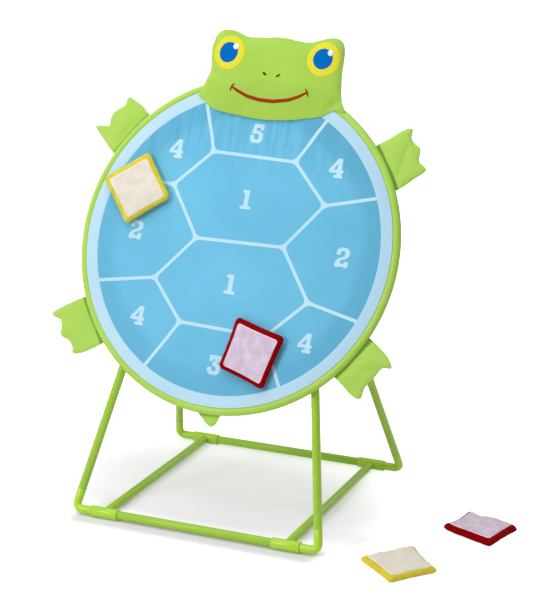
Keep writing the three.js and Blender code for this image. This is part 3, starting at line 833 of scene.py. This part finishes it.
# The loops: two sleeves and two straps of the backing cloth, sewn to the back panel along both
# sides. The front legs pass through them and hold the target.
loop_wall, loop_flange, loop_radius = 1.1 * mm, 20 * mm, 9.75 * mm
loop_steps, loop_arc_steps, loop_gap, loop_pucker = 12, 16, 0.3 * mm, 0.25 * mm
loop_seams, loop_hem = (3 * mm, 7.4 * mm), 5 * mm
# How a flange turns into the round: out from its side, and away from the panel
loop_fillet = ((2.4 * mm, 0), (0.5 * mm, 0.7 * mm), (0, 2.6 * mm))
loop_waves, loop_free, stitch_sunk = (9, 23), 6 * mm, 0.55
# How far below the target's middle each kind sits, and its length
loop_kinds = (("sleeve", 66 * mm, 90 * mm), ("strap", 192 * mm, 30 * mm))
plane_place = target_place @ turned(-target_roll)
for side_name, side in sides:
    foot_point = plane_place.inverted() @ base_corner(side, 0)
    top_point = plane_place.inverted() @ apex(side)
    run = top_point - foot_point
    for kind, drop, length in loop_kinds:
        centre = foot_point.lerp(top_point, (-drop - foot_point.y) / run.y)
        place = plane_place @ Matrix.Translation(centre) @ Matrix.Rotation(
            math.atan2(run.y, run.x) - math.pi / 2, 4, "Z")
        sewn = back_front - back_thick - loop_gap - centre.z - loop_wall / 2
        section = [(-loop_flange, sewn)]
        section += [(-loop_radius - out, sewn - down) for out, down in loop_fillet]
        arc = [on_circle(180 + 180 * i / loop_arc_steps, loop_radius)
               for i in range(loop_arc_steps + 1)]
        mirrored = [(-across, level) for across, level in reversed(section)]
        bm = bmesh.new()
        verts = [bm.verts.new((across, -length / 2, level))
                 for across, level in (*section, *arc, *mirrored)]
        edges = [bm.edges.new(pair) for pair in zip(verts, verts[1:])]
        for _ in range(loop_steps):
            grown = bmesh.ops.extrude_edge_only(bm, edges=edges)["geom"]
            moved = only(BMVert, grown)
            bmesh.ops.translate(bm, vec=(0, length / loop_steps, 0), verts=moved)
            edges = [edge for edge in only(BMEdge, grown)
                     if edge.verts[0] in moved and edge.verts[1] in moved]
        layer = bm.loops.layers.uv.verify()
        for each in bm.faces:
            for corner in each.loops:
                x, y, z = corner.vert.co
                corner[layer].uv = (x + (z if x > 0 else -z), y)
        for vert in bm.verts:
            free = min(1, max(0, (sewn - vert.co.z) / loop_free))
            along = vert.co.y / length
            wave = math.sin(along * loop_waves[0] + side) + math.sin(along * loop_waves[1])
            vert.co.xz += vert.co.xz.normalized() * (free * wave * loop_pucker)
        bmesh.ops.recalc_face_normals(bm, faces=bm.faces)
        bmesh.ops.solidify(bm, geom=bm.faces[:], thickness=loop_wall)
        bm.transform(place)
        finished(f"{side_name}_{kind}", bm, "frame", back_cloth,
                 [f"{side_name}_leg_{kind}"])
        bm = bmesh.new()
        count = int((length - loop_hem) / (stitch_length + stitch_gap))
        for edge_side in (-1, 1):
            for i in range(count + 1):
                for inset in loop_seams:
                    add_stitch(bm, Matrix.Translation((
                        edge_side * (loop_flange - inset),
                        (i / count - 0.5) * (length - loop_hem), sewn - loop_wall * stitch_sunk)))
        bm.transform(place)
        finished(f"{side_name}_{kind}_stitches", bm, "frame", green_thread)

# The head: two panels of green cloth sewn along their outline and stuffed. It stands over the
# top of the rim and is sewn to the face along its chin.
head_seam, head_front, head_back, head_pitch = 4 * mm, 17.5 * mm, 11 * mm, 6 * mm
head_outline = (
    (-132, 267), (-127, 280), (-123, 294), (-118, 311), (-116.5, 322), (-120, 339),
    (-122.5, 359), (-121, 375), (-117, 388), (-108, 396), (-96, 399), (-81, 397.5),
    (-68, 393), (-53, 389), (-32, 389.5), (-9, 392), (13, 393.5), (36, 392), (56, 389.5),
    (71, 389.5), (86, 394), (101, 399.5), (115, 402.5), (126, 401.5), (135, 396), (141, 385),
    (144, 366), (145, 344), (147, 323), (151, 302), (156, 283), (163, 271), (163, 264),
    (142, 268), (133, 264), (123, 256.5), (108, 251.5), (88, 247), (62, 241.5), (36, 238.5),
    (12, 236.5), (-11, 236.5), (-37, 238.5), (-66, 241), (-90, 244), (-107, 250), (-120, 259))
chin_level, chin_from, chin_to, chin_swell = 0.7 * mm, 248 * mm, 312 * mm, 0.35
rim_clear, head_rest = 8.6 * mm, 0.3 * mm
# Each crease's two ends, its width and its depth, in millimetres
head_creases = (((-138, 327), (-66, 295), 4.6, 3.8), ((122, 265), (170, 299), 5, 3.2),
                ((-112, 262), (-96, 292), 7, 1.2), ((136, 262), (147, 312), 7, 1.6))
head_sewn, head_pressure = (13 * mm, 8 * mm, 38 * mm), 7
cloth_steps, seam_crease, seam_height, puff_reach = 20, 0.6, 0.1 * mm, 6 * mm
edge_parts, merge_share = 4, 0.22


def curved(points, spacing):
    """Points at a spacing on the smooth closed line through a few measured ones."""
    points = [Vector(point) for point in points]
    line = []
    for i, point in enumerate(points):
        before, after, later = (points[(i + step) % len(points)] for step in (-1, 1, 2))
        length = (after - point).length
        leave = (after - before) * length / ((point - before).length + length)
        arrive = (later - point) * length / ((later - after).length + length)
        steps = max(1, round(length / spacing))
        for step in range(steps):
            t = step / steps
            line.append(point + leave * t
                        + (3 * (after - point) - 2 * leave - arrive) * t ** 2
                        + (2 * (point - after) + leave + arrive) * t ** 3)
    return line


def sewn_pair(points, pitch, front, back, reach):
    """Two panels cut to one smooth outline and joined along it. They rise from the seam in a
    round edge of a given reach to their front and back heights."""
    outline = curved(points, pitch)
    edge_places = [outline[i - 1].lerp(outline[i], part / edge_parts)
                   for i in range(len(outline)) for part in range(edge_parts)]
    edge_tree = KDTree(len(edge_places))
    for i, (x, y) in enumerate(edge_places):
        edge_tree.insert((x, y, 0), i)
    edge_tree.balance()
    bm = bmesh.new()
    cut_cloth(bm, outline, pitch)
    bmesh.ops.remove_doubles(bm, verts=bm.verts, dist=pitch * merge_share)
    face_up(bm)
    map_flat(bm)
    twin = bmesh.ops.duplicate(bm, geom=bm.verts[:] + bm.edges[:] + bm.faces[:])["geom"]
    bmesh.ops.reverse_faces(bm, faces=only(BMFace, twin))
    under = set(only(BMVert, twin))
    for vert in bm.verts:
        if not vert.is_boundary:
            share = min(edge_tree.find(vert.co)[2] / reach, 1)
            most = -back if vert in under else front
            vert.co.z = most * math.sqrt(1 - (1 - share) ** 2)
    bmesh.ops.remove_doubles(
        bm, verts=[vert for vert in bm.verts if vert.is_boundary], dist=touching)
    flat = [each for each in bm.faces if not any(vert.co.z for vert in each.verts)]
    bmesh.ops.delete(bm, geom=flat, context="FACES")
    crease = bm.edges.layers.float.new("crease_edge")
    for edge in bm.edges:
        if max(abs(vert.co.z) for vert in edge.verts) < seam_height:
            edge[crease] = seam_crease
    return bm


def puff(bm, front, back, pressure):
    """Blows the sewn panels up with the cloth solver, held at their seam. A soft stop keeps
    each point near."""
    mesh = bpy.data.meshes.new("panels")
    bm.to_mesh(mesh)
    panels = add_object("panels", mesh)
    solver = panels.modifiers.new("cloth", "CLOTH")
    cloth = solver.settings
    cloth.quality, cloth.mass, cloth.air_damping = 6, 0.3, 2
    cloth.tension_stiffness = cloth.compression_stiffness = 12
    cloth.shear_stiffness, cloth.bending_stiffness = 5, 0.3
    cloth.use_pressure, cloth.uniform_pressure_force = True, pressure
    cloth.effector_weights.gravity = 0
    seam = panels.vertex_groups.new(name="seam")
    seam.add([vert.index for vert in mesh.vertices if abs(vert.co.z) < seam_height], 1, "ADD")
    cloth.vertex_group_mass = "seam"
    for frame_number in range(1, cloth_steps + 1):
        scene.frame_set(frame_number)
    blown = panels.evaluated_get(bpy.context.evaluated_depsgraph_get()).to_mesh()
    moved = [point.co - rest.co for point, rest in zip(blown.vertices, mesh.vertices)]
    bpy.data.objects.remove(panels)
    bpy.data.meshes.remove(mesh)
    scene.frame_set(1)
    for vert, move in zip(bm.verts, moved):
        level = vert.co.z + move.z
        most = front if level > 0 else back
        vert.co.z = most * math.tanh(level / most)
        vert.co.xy += move.xy * min(1, puff_reach / max(move.xy.length, mm))


def creased(point, start, end, width, depth):
    """How deep a soft crease between two points runs here."""
    start, end = Vector(start) * mm, Vector(end) * mm
    along = end - start
    share = (point.xy - start).dot(along) / along.length_squared
    fade = max(0, 1 - (2 * share - 1) ** 2) if 0 < share < 1 else 0
    across = (point.xy - start - along * share).length / (width * mm)
    return depth * mm * math.sqrt(fade) * math.exp(-across * across)


def smoothed(made):
    """A live subdivision, the same in the view as in the render."""
    finer = made.modifiers.new("finer", "SUBSURF")
    finer.levels = finer.render_levels = 1
    return made


bm = sewn_pair([(x * mm, y * mm) for x, y in head_outline], head_pitch, *head_sewn)
puff(bm, head_front, head_back, head_pressure)
for vert in bm.verts:
    share = smooth_share(vert.co.y, chin_from, chin_to)
    if vert.co.z > 0:
        vert.co.z *= chin_swell + (1 - chin_swell) * share
        vert.co.z -= sum(creased(vert.co, *crease) for crease in head_creases)
    vert.co.z += chin_level + (head_seam - chin_level) * share
    past_rim = vert.co.xy.length - rim_radius
    shelf = head_rest if past_rim < 0 else -math.inf
    if abs(past_rim) < rim_clear:
        shelf = max(shelf, rim_level + math.sqrt(rim_clear ** 2 - past_rim ** 2))
    vert.co.z = max(vert.co.z, shelf)
bm.transform(target_place)
head_cloth = cloth_finish("stuffed_green_cloth", shade(178, 219, 86), shade(166, 208, 70),
                          pitch=1.1 * mm, nap=0.4, blotch=9)
head_piece = smoothed(finished("stuffed_head", bm, "frame", head_cloth,
                               ["head"], soft_degrees))

# The features: eyes of felt patches laid on each other, and nostrils and a smile in thick
# embroidery thread.
eye_places = ((-80.5, 352), (108, 358))
eye_size, pupil_size, glint_size = (31.5, 33), (18.8, 19.8), (5.6, 5.8)
pupil_shift, glint_shift = (-1.2, 0.5), (11.5, 13)
nostrils, nostril_size = (((-1, 319), -35), ((26.5, 318), 35)), (5, 2.4)
smile = ((-63, 289), (-51, 283), (-30, 275), (-6, 271), (22, 271), (51, 276), (72, 284),
         (87, 293))
smile_ticks = (((-66, 281), (-64.5, 286), (-62, 291), (-58, 295)),
               ((90, 286), (89.5, 291), (88, 295), (84, 300)))
smile_widths, tick_widths = (3.4, 2.0), (1.9, 1.1)
smile_lift, tick_lift, nostril_lift = 0.5, 0.6, 0.4
patch_pitch, patch_rim, patch_drop, round_points = 4 * mm, 0.6 * mm, 0.5, 36
ray_height = 100 * mm


def skin_level(piece, place):
    """Gives the height of a piece's finished skin over any point of a plane."""
    skin = BVHTree.FromObject(piece, bpy.context.evaluated_depsgraph_get())
    back, down = place.inverted(), -place.to_3x3().col[2]

    def level(x, y):
        hit = skin.ray_cast(place @ Vector((x, y, ray_height)), down)[0]
        return (back @ hit).z if hit else 0
    return level


on_head = skin_level(head_piece, target_place)


def ellipse(centre, size, turn=0):
    """An oval outline, turned by some degrees about its centre."""
    turning = Matrix.Rotation(math.radians(turn), 2)
    return [(turning @ (on_circle(360 * i / round_points) * Vector(size)) + Vector(centre)) * mm
            for i in range(round_points)]


def add_patch(bm, outline, level_at, lift, thickness=0.9, pitch=patch_pitch, edging=0):
    """A thin patch that lies on a surface, with its edge pressed down. An edging is a band of
    its second finish."""
    patch = bmesh.new()
    cut_cloth(patch, outline, pitch)
    face_up(patch)
    ring = bmesh.ops.inset_region(patch, faces=patch.faces[:], thickness=edging or patch_rim,
                                  use_boundary=True)["faces"]
    if edging:
        for each in ring:
            each.material_index = 1
    map_flat(patch)
    for vert in patch.verts:
        drop = patch_drop * thickness if vert.is_boundary else 0
        vert.co.z = level_at(vert.co.x, vert.co.y) + (lift - drop) * mm
    bmesh.ops.solidify(patch, geom=patch.faces[:], thickness=thickness * mm)
    mesh = bpy.data.meshes.new("patch")
    patch.to_mesh(mesh)
    patch.free()
    bm.from_mesh(mesh)
    bpy.data.meshes.remove(mesh)


def lay_on_head(name, patches, finish, stands_for=()):
    """A piece of the face: outlines, each with the height that it is laid at."""
    bm = bmesh.new()
    for outline, lift in patches:
        add_patch(bm, outline, on_head, lift)
    bm.transform(target_place)
    finished(name, bm, "frame", finish, stands_for, soft_degrees)


def felt(name, light, dark):
    finish = Finish(name, Roughness=0.85, Specular_IOR_Level=0.03)
    place = finish.own_place()
    fibre = finish.noise(place, 1100, 4)
    finish.give(Base_Color=finish.mix((fibre + finish.noise(place, 60)) * 0.5, dark, light))
    finish.bump(fibre, 0.3, 0.4 * mm)
    return finish


yellow_felt = felt("yellow_felt", shade(238, 234, 70), shade(224, 216, 48))
blue_felt = felt("blue_felt", shade(0, 116, 202), shade(0, 98, 184))
white_felt = felt("white_felt", shade(250, 250, 250), shade(232, 236, 240))
for (side_name, side), place in zip(sides, eye_places):
    for kind, shift, size, lift, finish, slot, nodes in (
            ("eye", (0, 0), eye_size, 0.5, yellow_felt, "eye_cloth", [f"{side_name}_eye"]),
            ("pupil", pupil_shift, pupil_size, 0.9, blue_felt, "pupil_cloth",
             [f"{side_name}_pupil"]),
            ("glint", glint_shift, glint_size, 1.4, white_felt, "pupil_cloth", [])):
        lay_on_head(f"{side_name}_{kind}_patch",
                    [(ellipse(Vector(place) + Vector(shift), size), lift)], finish, nodes)


def thread_finish(name, light, dark, pitch=0.7 * mm):
    """Satin embroidery: close parallel threads with a soft shine."""
    finish = Finish(name, Roughness=0.55, Specular_IOR_Level=0.1)
    place = finish.cloth_place()
    strand = (finish.axis(place, 0) * (2 * math.pi / pitch)).math("SINE")
    finish.give(Base_Color=finish.mix(strand * 0.3 + finish.noise(place, 200) * 0.6, dark, light))
    finish.bump(strand, 0.4, 0.3 * mm)
    return finish


def stroke(points, middle, end):
    """An outline round a line of points that tapers to both its ends."""
    points = [Vector(point) for point in points]
    upper, lower = [], []
    for i, point in enumerate(points):
        along = (points[min(i + 1, len(points) - 1)] - points[max(i - 1, 0)]).normalized()
        share = 1 - abs(2 * i / (len(points) - 1) - 1)
        half = (end + (middle - end) * math.sqrt(share)) * Vector((-along.y, along.x))
        upper.append((point + half) * mm)
        lower.append((point - half) * mm)
    return lower + upper[::-1]


red_thread = thread_finish("red_brown_thread", shade(190, 72, 10), shade(156, 56, 4))
dark_thread = thread_finish("dark_green_thread", shade(66, 112, 20), shade(44, 84, 10))
lay_on_head("smile", [(stroke(smile, *smile_widths), smile_lift)]
            + [(stroke(tick, *tick_widths), tick_lift) for tick in smile_ticks],
            red_thread)
lay_on_head("nostrils", [(ellipse(place, nostril_size, lean), nostril_lift)
                         for place, lean in nostrils], dark_thread)

# The feet and the tail: two panels of the same green cloth, sewn, turned out and lightly
# stuffed. Their open ends are sewn into the rim's seam.
flap_edge, flap_front = 317.5 * mm, 5.5 * mm
flap_pitch, flap_tuck, bend_length = 3.8 * mm, 4, 13 * mm
flap_sewn, flap_round, flap_pressure = 0.7, 2.2, 5
tail_pitch, tail_front, tuck_bend = 0.6, 0.7, 0.85
# Where the painted shade at the tuck fades out, and how far its edge wanders
tuck_from, tuck_to, tuck_wander = 4 * mm, 8.5 * mm, 7 * mm
# Outlines in millimetres: along the seam, and outward from the rim
foot_outlines = {
    "upper_left": (145.4, (
        (50, -4), (53.5, 9), (54, 23), (51.2, 41), (47.8, 54.3), (40, 54.1), (30.7, 49.4),
        (18.2, 54.3), (3.2, 57), (-8.4, 53), (-18, 45.6), (-27.5, 55.7), (-37.9, 66.4),
        (-42, 55.6), (-45.3, 32.8), (-48, 15.5), (-48.6, -4))),
    "upper_right": (34.6, (
        (47.2, -4), (47.5, 12.9), (45.1, 28.1), (42, 55.7), (39.6, 63), (28.5, 59.5),
        (17.4, 56), (5.4, 64.5), (-2.6, 67.7), (-15.4, 62.3), (-25.8, 60.3), (-33.8, 64.8),
        (-41.4, 69.6), (-46.6, 62.2), (-47.6, 45.7), (-46.1, 24.6), (-44.8, -4))),
    "lower_left": (-145.4, (
        (44.2, -4), (47.7, 13.7), (49.5, 43.4), (48.9, 64.7), (46, 73.4), (37, 69.3),
        (27.6, 61.4), (15.7, 63.7), (2, 71.4), (-5.2, 69.7), (-17, 60.2), (-30.1, 57.7),
        (-43.8, 61.4), (-50.3, 47.9), (-53.1, 28.2), (-52, -4))),
    "lower_right": (-34.6, (
        (36.8, -4), (37, 21), (38.1, 37.5), (35.5, 53.4), (30.8, 61), (23.3, 58.5),
        (10.7, 52.3), (-1.6, 52), (-19.8, 51.5), (-30.5, 49.5), (-37.4, 51.4), (-48.2, 63.3),
        (-56.5, 47), (-58.4, 29.7), (-58.7, 6.3), (-56, -4)))}
flaps = [(f"{name}_foot", f"{name}_flap", *outline) for name, outline in foot_outlines.items()]
flaps.append(("tail", "tail_flap", -88, (
    (23, -4), (17.1, 1.5), (9, 9), (2.4, 14.8), (-6.3, 20.3), (-11.7, 20.9), (-17.9, 16.1),
    (-22.8, 4.7), (-25, -4))))
flap_creases = {
    "upper_right_foot": (((42, -8), (-22, 58), 6, 2.4), ((-24, 61), (22, 57), 4, 2.0),
                         ((30, 20), (4, 46), 6, 1.0)),
    "upper_left_foot": (((-16, 46), (-42, 22), 5, 1.8), ((-38, 12), (34, 8), 6, 1.2),
                        ((20, 6), (38, 40), 7, 0.9)),
    "lower_left_foot": (((46, 6), (-46, 4), 6, 1.8), ((0, 20), (30, 58), 7, 1.0)),
    "lower_right_foot": (((-42, 54), (-2, 24), 6, 1.6), ((-46, 8), (20, 12), 7, 1.2),
                         ((16, 48), (-2, 26), 6, 1.0)),
    "tail": (((-18, 2), (16, 2), 4, 0.5),)}
base_from, base_to, base_swell = -2 * mm, 16 * mm, 0.25
# How dark the painted shade on each is, where it is tucked into the seam
painted_tuck_shade = {"upper_left_foot": 0.4, "upper_right_foot": 0.9, "lower_left_foot": 0.75,
              "lower_right_foot": 0.85, "tail": 0.5}


def foot_finish(name, strength):
    """The head's cloth again, with painted shade where it is tucked into the rim's seam."""
    finish = cloth_finish(name, shade(185, 226, 99), shade(173, 215, 84), pitch=1.1 * mm,
                          nap=0.4, blotch=9)
    wavy = finish.noise(finish.place, 30) * tuck_wander
    seam_shade = 1 - (finish.axis(finish.place, 1) + wavy).between(tuck_from, tuck_to)
    paint_shade_on(finish, seam_shade * strength, shade(84, 140, 16))
    return finish


for name, body, degrees, outline in flaps:
    hinge = (on_circle(degrees) * flap_edge).to_3d() + Vector((0, 0, rim_level))
    flap_place = target_place @ Matrix.Translation(hinge) @ turned(degrees - 90)
    pitch = flap_pitch * (tail_pitch if name == "tail" else 1)
    most = flap_front * (tail_front if name == "tail" else 1)
    first, last = outline[0][0], outline[-1][0]
    tucked = [(across, -flap_tuck - across * across / (2 * flap_edge / mm))
              for across in (last, last * tuck_bend, 0, first * tuck_bend, first)]
    points = [(x * mm, y * mm) for x, y in (*outline[1:-1], *tucked)]
    bm = sewn_pair(points, pitch, most * flap_sewn, most * flap_sewn, most * flap_round)
    puff(bm, most, most, flap_pressure)
    for vert in bm.verts:
        share = smooth_share(vert.co.y, base_from, base_to)
        vert.co.z *= base_swell + (1 - base_swell) * share
        vert.co.z -= sum(creased(vert.co, *crease) for crease in flap_creases[name])
    bm.transform(flap_place)
    cloth = foot_finish(f"{name}_green_cloth", painted_tuck_shade[name])
    flap = smoothed(finished(f"stuffed_{name}", bm, None, cloth, [name],
                             soft_degrees))
    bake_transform(flap)

# The bean bags: two squares of cloth sewn round and half filled with pellets, with a light
# square of loop cloth sewn on the front. Two cling to the face and two lie on the floor.
bag_side, bag_corner, bag_pitch = 102.5, 8, 3.8 * mm
bag_back, bag_sole, bag_flat = 12 * mm, -9.9 * mm, 10.08 * mm
bag_edge_front, bag_edge_back, bag_pressure = 0.64, 7 * mm, 4
bag_patch_side, bag_patch_corner, bag_patch_pitch = 84, 4, 2.6 * mm
patch_edge, patch_hollow, patch_lift, patch_thickness = 1.5 * mm, 0.6, 0.8, 1.0
corner_steps, side_shares = 3, (0.6, 0, -0.6)
lump_count, lump_spread, lump_width, lump_height = 14, 40, 11 * mm, 1.1 * mm
gather_pitches, gather_height = (3.3 * mm, 5.1 * mm), 0.35 * mm
bag_corners = ((-1, -1), (-1, 1), (1, 1), (1, -1))


def rounded_square(side, corner, hollow=0):
    """A square's outline with short rounded corners and sides that pull in, in millimetres."""
    half, points = side / 2 - corner, []
    for quarter in range(4):
        turn = Matrix.Rotation(math.radians(90 * quarter), 2)
        for step in range(corner_steps + 1):
            angle = math.radians(90 * step / corner_steps)
            points.append(turn @ Vector((half + corner * math.cos(angle),
                                         half + corner * math.sin(angle))))
        for share in side_shares:
            drawn_in = hollow * (1 - share * share)
            points.append(turn @ Vector((share * half, half + corner - drawn_in)))
    return points


yellow_cloth = cloth_finish("yellow_bag_cloth", shade(230, 220, 62), shade(218, 192, 50),
                            nap=0.08, blotch=60)
red_cloth = cloth_finish("red_bag_cloth", shade(160, 0, 2), shade(132, 0, 2), nap=0,
                         blotch=60, gloss=0.05)
cream_patch = cloth_finish("cream_loop_cloth", shade(242, 235, 219), shade(228, 220, 200),
                           nap=0.5, blotch=48)
pink_patch = cloth_finish("pink_loop_cloth", shade(236, 217, 234), shade(208, 186, 212),
                          nap=0.5, blotch=52)
cream_edge = felt("cream_edging", shade(250, 246, 232), shade(240, 234, 216))
pink_edge = felt("pink_edging", shade(250, 238, 248), shade(240, 224, 240))
bag_cloths = {"yellow": (yellow_cloth, (cream_patch, cream_edge), "cream_cloth"),
              "red": (red_cloth, (pink_patch, pink_edge), "pink_cloth")}
floor_place = Matrix.Translation(stand_middle)
bags = (
    ("yellow", "target", "clinging", target_place, (-216.1, 77, -1.6), 37),
    ("red", "target", "clinging", target_place, (76.4, -192.8, -2.6), -13.4),
    ("yellow", "floor", "loose", floor_place, (399.5, -1, 0), -39.1),
    ("red", "floor", "loose", floor_place, (479.8, 208.3, 0), -16))
# How each bag has slumped, in millimetres: how far its sides draw in, how high it is filled
# and how near the seam, how far each corner is pulled along, across and up, where the patch
# sits, and the soft creases and humps in its front
bag_slumps = (
    (0.8, 11, 13, ((1.7, -1.3, 0), (-1.6, 1.3, 0), (-0.8, 0.2, 0), (0.6, -0.3, 0)), (1.2, -2.4),
     (((14, 34), (0, 2), 6, 2.2), ((-24, 12), (26, -2), 6, 2.0), ((0, 6), (-8, -26), 6, 1.8))),
    (1.2, 11, 13, ((3.8, 2.9, 0), (-2, -0.6, 0), (-1.2, -0.6, 0), (-0.6, -1.8, 0)), (0.6, -1.2),
     (((-23, 34), (-16, -4), 5, 3.0), ((10, 36), (-12, -2), 5, 3.0),
      ((-12, 4), (-3, -32), 5, 2.8), ((26, 26), (32, -14), 11, 2.4),
      ((-34, -4), (-24, -28), 9, 1.8))),
    (2.2, 14, 14, ((-3.8, -2.3, 3.3), (3.1, 6.6, 6.3), (-2.8, -4.3, 0), (-1, -1.3, 0.6)), (0, 1),
     (((-37, -40), (-37, 40), 15, -3.6), ((20, -30), (34, 10), 9, 0.7))),
    (2.4, 17, 14, ((0.7, 2.2, 9.4), (-4.9, -2.7, 4.4), (1, 0.6, 0), (3.2, 2.8, 0.5)), (0, 1),
     (((-14, 37), (40, 30), 15, -4.6), ((-32, 46), (-14, 12), 9, 2.2),
      ((-34, -6), (-4, -30), 9, 1.2))))


def slumped(x, y, pulls):
    """How far a bag's point follows what pulls at its four corners."""
    half, total = bag_side / 2 * mm, Vector()
    for (right, up), pull in zip(bag_corners, pulls):
        share = max(0, (1 + right * x / half) / 2) * max(0, (1 + up * y / half) / 2)
        total += Vector((pull[0] * share, pull[1] * share, pull[2] * share * share)) * mm
    return total


for seed, (bag, slump) in enumerate(zip(bags, bag_slumps), 1):
    colour, spot, hold, ground, place, turn = bag
    hollow, filled, edge, pulls, patch_shift, creases = slump
    name, body = f"{colour}_{spot}_bag", f"{colour}_{hold}_bag"
    cloth, patch_finish, patch_slot = bag_cloths[colour]
    bag_place = (ground @ Matrix.Translation(Vector(place) * mm) @ turned(turn)
                 @ Matrix.Translation((0, 0, bag_flat)))
    bm = sewn_pair([point * mm for point in rounded_square(bag_side, bag_corner, hollow)],
                   bag_pitch, filled * bag_edge_front * mm, bag_edge_back, edge * mm)
    puff(bm, filled * mm, bag_back, bag_pressure)
    rng = random.Random(seed)
    lumps = [(Vector([rng.uniform(-lump_spread, lump_spread) for _ in range(2)]) * mm,
              rng.uniform(-1, 1)) for _ in range(lump_count)]
    for vert in bm.verts:
        x, y, z = vert.co
        reach = max(abs(x), abs(y)) / (bag_side / 2 * mm)
        lump = sum(size * math.exp(-((vert.co.xy - at).length / lump_width) ** 2)
                   for at, size in lumps)
        gather = (math.sin((x - y) / gather_pitches[0] + seed)
                  + math.sin((x + y) / gather_pitches[1]))
        z += (lump * max(0, 1 - reach ** 4) * lump_height
              + gather * reach ** 6 * gather_height)
        if z > 0:
            z -= sum(creased(vert.co, *crease) for crease in creases)
        vert.co = Vector((x, y, z)) + slumped(x, y, pulls)
        vert.co.z = max(vert.co.z, bag_sole)
    bm.transform(bag_place)
    pad = smoothed(finished(f"{colour}_{spot}_bean_bag", bm, body, cloth,
                            [name], soft_degrees))
    square = []
    for point in curved([point * mm for point in rounded_square(
            bag_patch_side, bag_patch_corner, hollow * patch_hollow)], bag_patch_pitch):
        point += Vector(patch_shift) * mm
        square.append(point + slumped(*point, pulls).xy)
    bm = bmesh.new()
    add_patch(bm, square, skin_level(pad, bag_place), patch_lift, patch_thickness,
              bag_patch_pitch, patch_edge)
    bm.transform(bag_place)
    finished(f"{colour}_{spot}_patch", bm, body, patch_finish, [f"{name}_panel"],
             soft_degrees)
